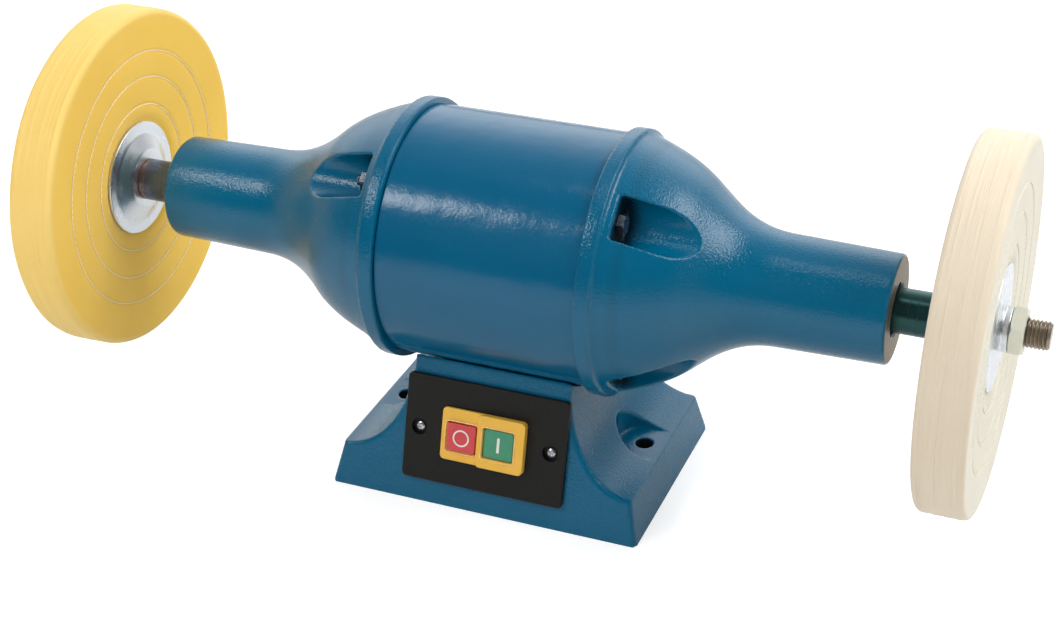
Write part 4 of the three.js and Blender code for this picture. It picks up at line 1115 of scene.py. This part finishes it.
# Buttons
# A red stop button and a green start button, domed at the edges, each with its pale moulded
# mark: a ring on the red one and an upright bar on the green one.
button_back, button_face, button_corner, button_ease = -2.8, 7.2, 1.4, 0.7
mark_foot, mark_edge, mark_face = 7.0, 7.3, 7.38
ring_outline = (
    (3.9, mark_foot), (3.95, mark_edge), (4.1, mark_face),
    (4.7, mark_face), (4.85, mark_edge), (4.9, mark_foot),
)
bar_half_x, bar_half_y, bar_corner, bar_ease = 0.8, 4.3, 0.3, 0.12
mark_coat = finish("mark_plastic", moulded(paint(232, 226, 214), paint(244, 240, 232)))
for word, slot, size, centre, colours in (
    ("off", "red_plastic", off_size, off_centre, (paint(204, 66, 72), paint(218, 84, 88))),
    ("on", "green_plastic", on_size, on_centre, (paint(62, 142, 108), paint(80, 156, 122))),
):
    body = f"{word}_button"
    place = shifted(on_plate, *centre)
    cap = slab(
        size[0] / 2, size[1] / 2, button_corner, button_back, button_face, button_ease, place, 8)
    cap.name = f"cap_{word}"
    seat(smooth(cap, 30), body, slot, finish(f"button_{word}", moulded(*colours)), body)
    if word == "off":
        corners, faces = skin([
            np.column_stack([circle(radius, 64), np.full(64, level)])
            for radius, level in ring_outline
        ], closed=True)
        mark = shape("mark_off", place(corners), faces)
    else:
        mark = slab(bar_half_x, bar_half_y, bar_corner, mark_foot, mark_face, bar_ease, place)
        mark.name = "mark_on"
    smooth(mark, 30)
    mark.data.materials.append(mark_coat)
    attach(mark, body)

# Pieces that keep their CAD meshes
# The gland, cover, fasteners and everything inside are rigid pieces whose CAD shapes are right.
# Their edges are eased by a bevel that only shows, and each has the finish of its slot.
seam_weld, edge_bevel, edge_angle = 0.01, 0.3, 40


def laminated(place):
    sheets = place.maths("SINE", part(place, "X") * 12566.0)
    return {
        "Base Color": tinted(noise(place, 120), paint(84, 86, 90), paint(120, 122, 126)),
        "Metallic": 0.8,
        "Roughness": 0.55,
        "Normal": bumped(sheets, 0.0001),
    }


def wound(place):
    strands = noise(place, 900, 3, (1, 0.2, 0.2))
    return {
        "Base Color": tinted(strands, paint(150, 78, 40), paint(206, 124, 70)),
        "Metallic": 0.6,
        "Roughness": 0.4,
        "Normal": bumped(strands, 0.0004),
    }


def black_sheet(place):
    texture = noise(place, 700, 3)
    return {
        "Base Color": tinted(texture, paint(24, 27, 30), paint(38, 42, 46)),
        "Roughness": uneven(texture, 0.4, 0.55),
        "Normal": bumped(texture, 0.0001),
    }


bright_steel = dull_metal(paint(150, 148, 144), paint(196, 196, 192), 0.28, 0.42)
cast_aluminium = dull_metal(paint(168, 170, 172), paint(200, 202, 204), 0.35, 0.5)
coats = {
    "steel": finish("bright_steel", bright_steel),
    "zinc": zinc_coat,
    "black_plastic": black_coat,
    "laminations": finish("laminations", laminated),
    "copper": finish("copper_winding", wound),
    "aluminium": finish("cast_aluminium", cast_aluminium),
    "black_paint": finish("black_sheet_paint", black_sheet),
    "white_plastic": finish("white_plastic", moulded(paint(218, 216, 208), paint(232, 230, 222))),
    "black_sheath": finish("black_sheath", moulded(paint(22, 22, 24), paint(36, 36, 38))),
}
bearing_pieces = [
    f"{stem}_{side}"
    for stem in ("bearing_inner", "bearing_outer", "ball_cage") for side in ("left", "right")
]
cover_screws = [f"cover_screw_{number}" for number in (1, 2, 3, 4)]
kept = {
    "steel": ["saddle_bolt_1", "saddle_bolt_2", "wave_washer", *bearing_pieces],
    "zinc": ["capacitor_clamp", "clamp_screw_1", "clamp_screw_2", *cover_screws],
    "black_plastic": ["switch_body", "cable_gland", "gland_locknut"],
    "laminations": ["stator_core", "rotor_core"],
    "copper": ["winding_left", "winding_right"],
    "aluminium": ["rotor_end_ring_left", "rotor_end_ring_right"],
    "black_paint": ["base_cover"],
    "white_plastic": ["capacitor", "terminal_block"],
    "black_sheath": ["motor_leads", "switch_leads"],
}
for slot, names in kept.items():
    for name in names:
        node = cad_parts[name]
        node.data.materials.clear()
        node.data.materials.append(coats[slot])
        node.data.shade_smooth()
        node.modifiers.new("weld", "WELD").merge_threshold = seam_weld * mm
        bevel = node.modifiers.new("ease", "BEVEL")
        bevel.width = edge_bevel * mm
        bevel.segments = 2
        bevel.limit_method = "ANGLE"
        bevel.angle_limit = math.radians(edge_angle)
        bevel.harden_normals = True

# Floor and light
# A white table with a lit paper wall behind, a soft box at the left and right and a weak one
# above. The room in front is dark, but for a broad fill that shows in no reflection. The wall's
# reflection fades upwards and to the sides, and the floor reads white with a soft shadow.
floor_reach = 9000
floor = shape("floor", [
    [-floor_reach, -floor_reach, 0], [floor_reach, -floor_reach, 0],
    [floor_reach, floor_reach, 0], [-floor_reach, floor_reach, 0],
], [[0, 1, 2, 3]])
table = bpy.data.materials.new("table")
start = emptied(table)
seen = start.make("LightPath", {}, {}, "Is Camera Ray")
mirrored = start.make("LightPath", {}, {}, "Is Glossy Ray")
spot = start.make("TexCoord", {}, {}, "Object")
# painted light: the floor glows for the camera, from about half strength near the machine to full
# strength far off, so it reads white and keeps its shadow close by; it also glows faintly in
# reflections
away = ramp(vector("LENGTH", spot, out="Value"), 0.45, 1.6, 0.47, 1.0)
cloth = start.make("BsdfDiffuse", {}, {"Color": (0.8, 0.8, 0.8, 1)})
painted_floor_glow = start.make("Emission", {}, {"Strength": seen * away + mirrored * 0.03})
start.make("OutputMaterial", {}, {"Surface": start.make("AddShader", {}, {0: cloth, 1: painted_floor_glow})})
floor.data.materials.append(table)

world = bpy.data.worlds.new("studio")
scene.world = world
sky = emptied(world)
seen = sky.make("LightPath", {}, {}, "Is Camera Ray")
mirrored = sky.make("LightPath", {}, {}, "Is Glossy Ray")
direction = sky.make("TexCoord", {}, {}, "Generated")
behind = ramp(part(direction, "Y"), -0.45, 0.6)
aside = ramp(part(direction, "X"), 0.2, 0.6, 1.0, 0.3)
rise = part(direction, "Z")
band = ramp(rise, -0.05, 0.4, 0.6, 1.0) * ramp(rise, 0.5, 0.98, 1.0, 0.25)
sky.make("OutputWorld", {}, {"Surface": sky.make("Background", {}, {
    "Color": (1, 1, 1, 1), "Strength": 0.07 + seen * 0.93 + mirrored * behind * aside * band * 1.8,
})})

aim = Vector((0, 0, 0.14))
for name, place, size, glow, mirrored in (
    ("light_paper", (-0.5, 1.7, 0.95), (4.4, 1.8), 1.8, False),
    ("light_right", (1.12, 0.26, 1.25), (1.16, 0.62), 5.5, True),
    ("light_left", (-0.84, -0.87, 1.25), (0.6, 0.36), 9.0, True),
    ("light_above", (-0.2, -0.22, 2.1), (0.5, 0.4), 3.0, True),
    ("light_ceiling", (0.1, 0.1, 2.2), (1.7, 1.7), 0.45, False),
    ("light_fill", (0.05, -1.95, 1.6), (2.6, 2.2), 1.7, False),
    ("light_side", (1.6, 0.8, 1.25), (1.4, 1.2), 2.1, False),
):
    lamp = bpy.data.objects.new(name, bpy.data.lights.new(name, "AREA"))
    lamp.data.shape = "RECTANGLE"
    lamp.data.size, lamp.data.size_y = size
    lamp.data.energy = glow * math.pi * size[0] * size[1]
    lamp.visible_glossy = mirrored
    lamp.location = place
    lamp.rotation_mode = "QUATERNION"
    lamp.rotation_quaternion = (aim - Vector(place)).to_track_quat("-Z", "Y")
    scene.collection.objects.link(lamp)

scene.view_settings.view_transform = "Standard"
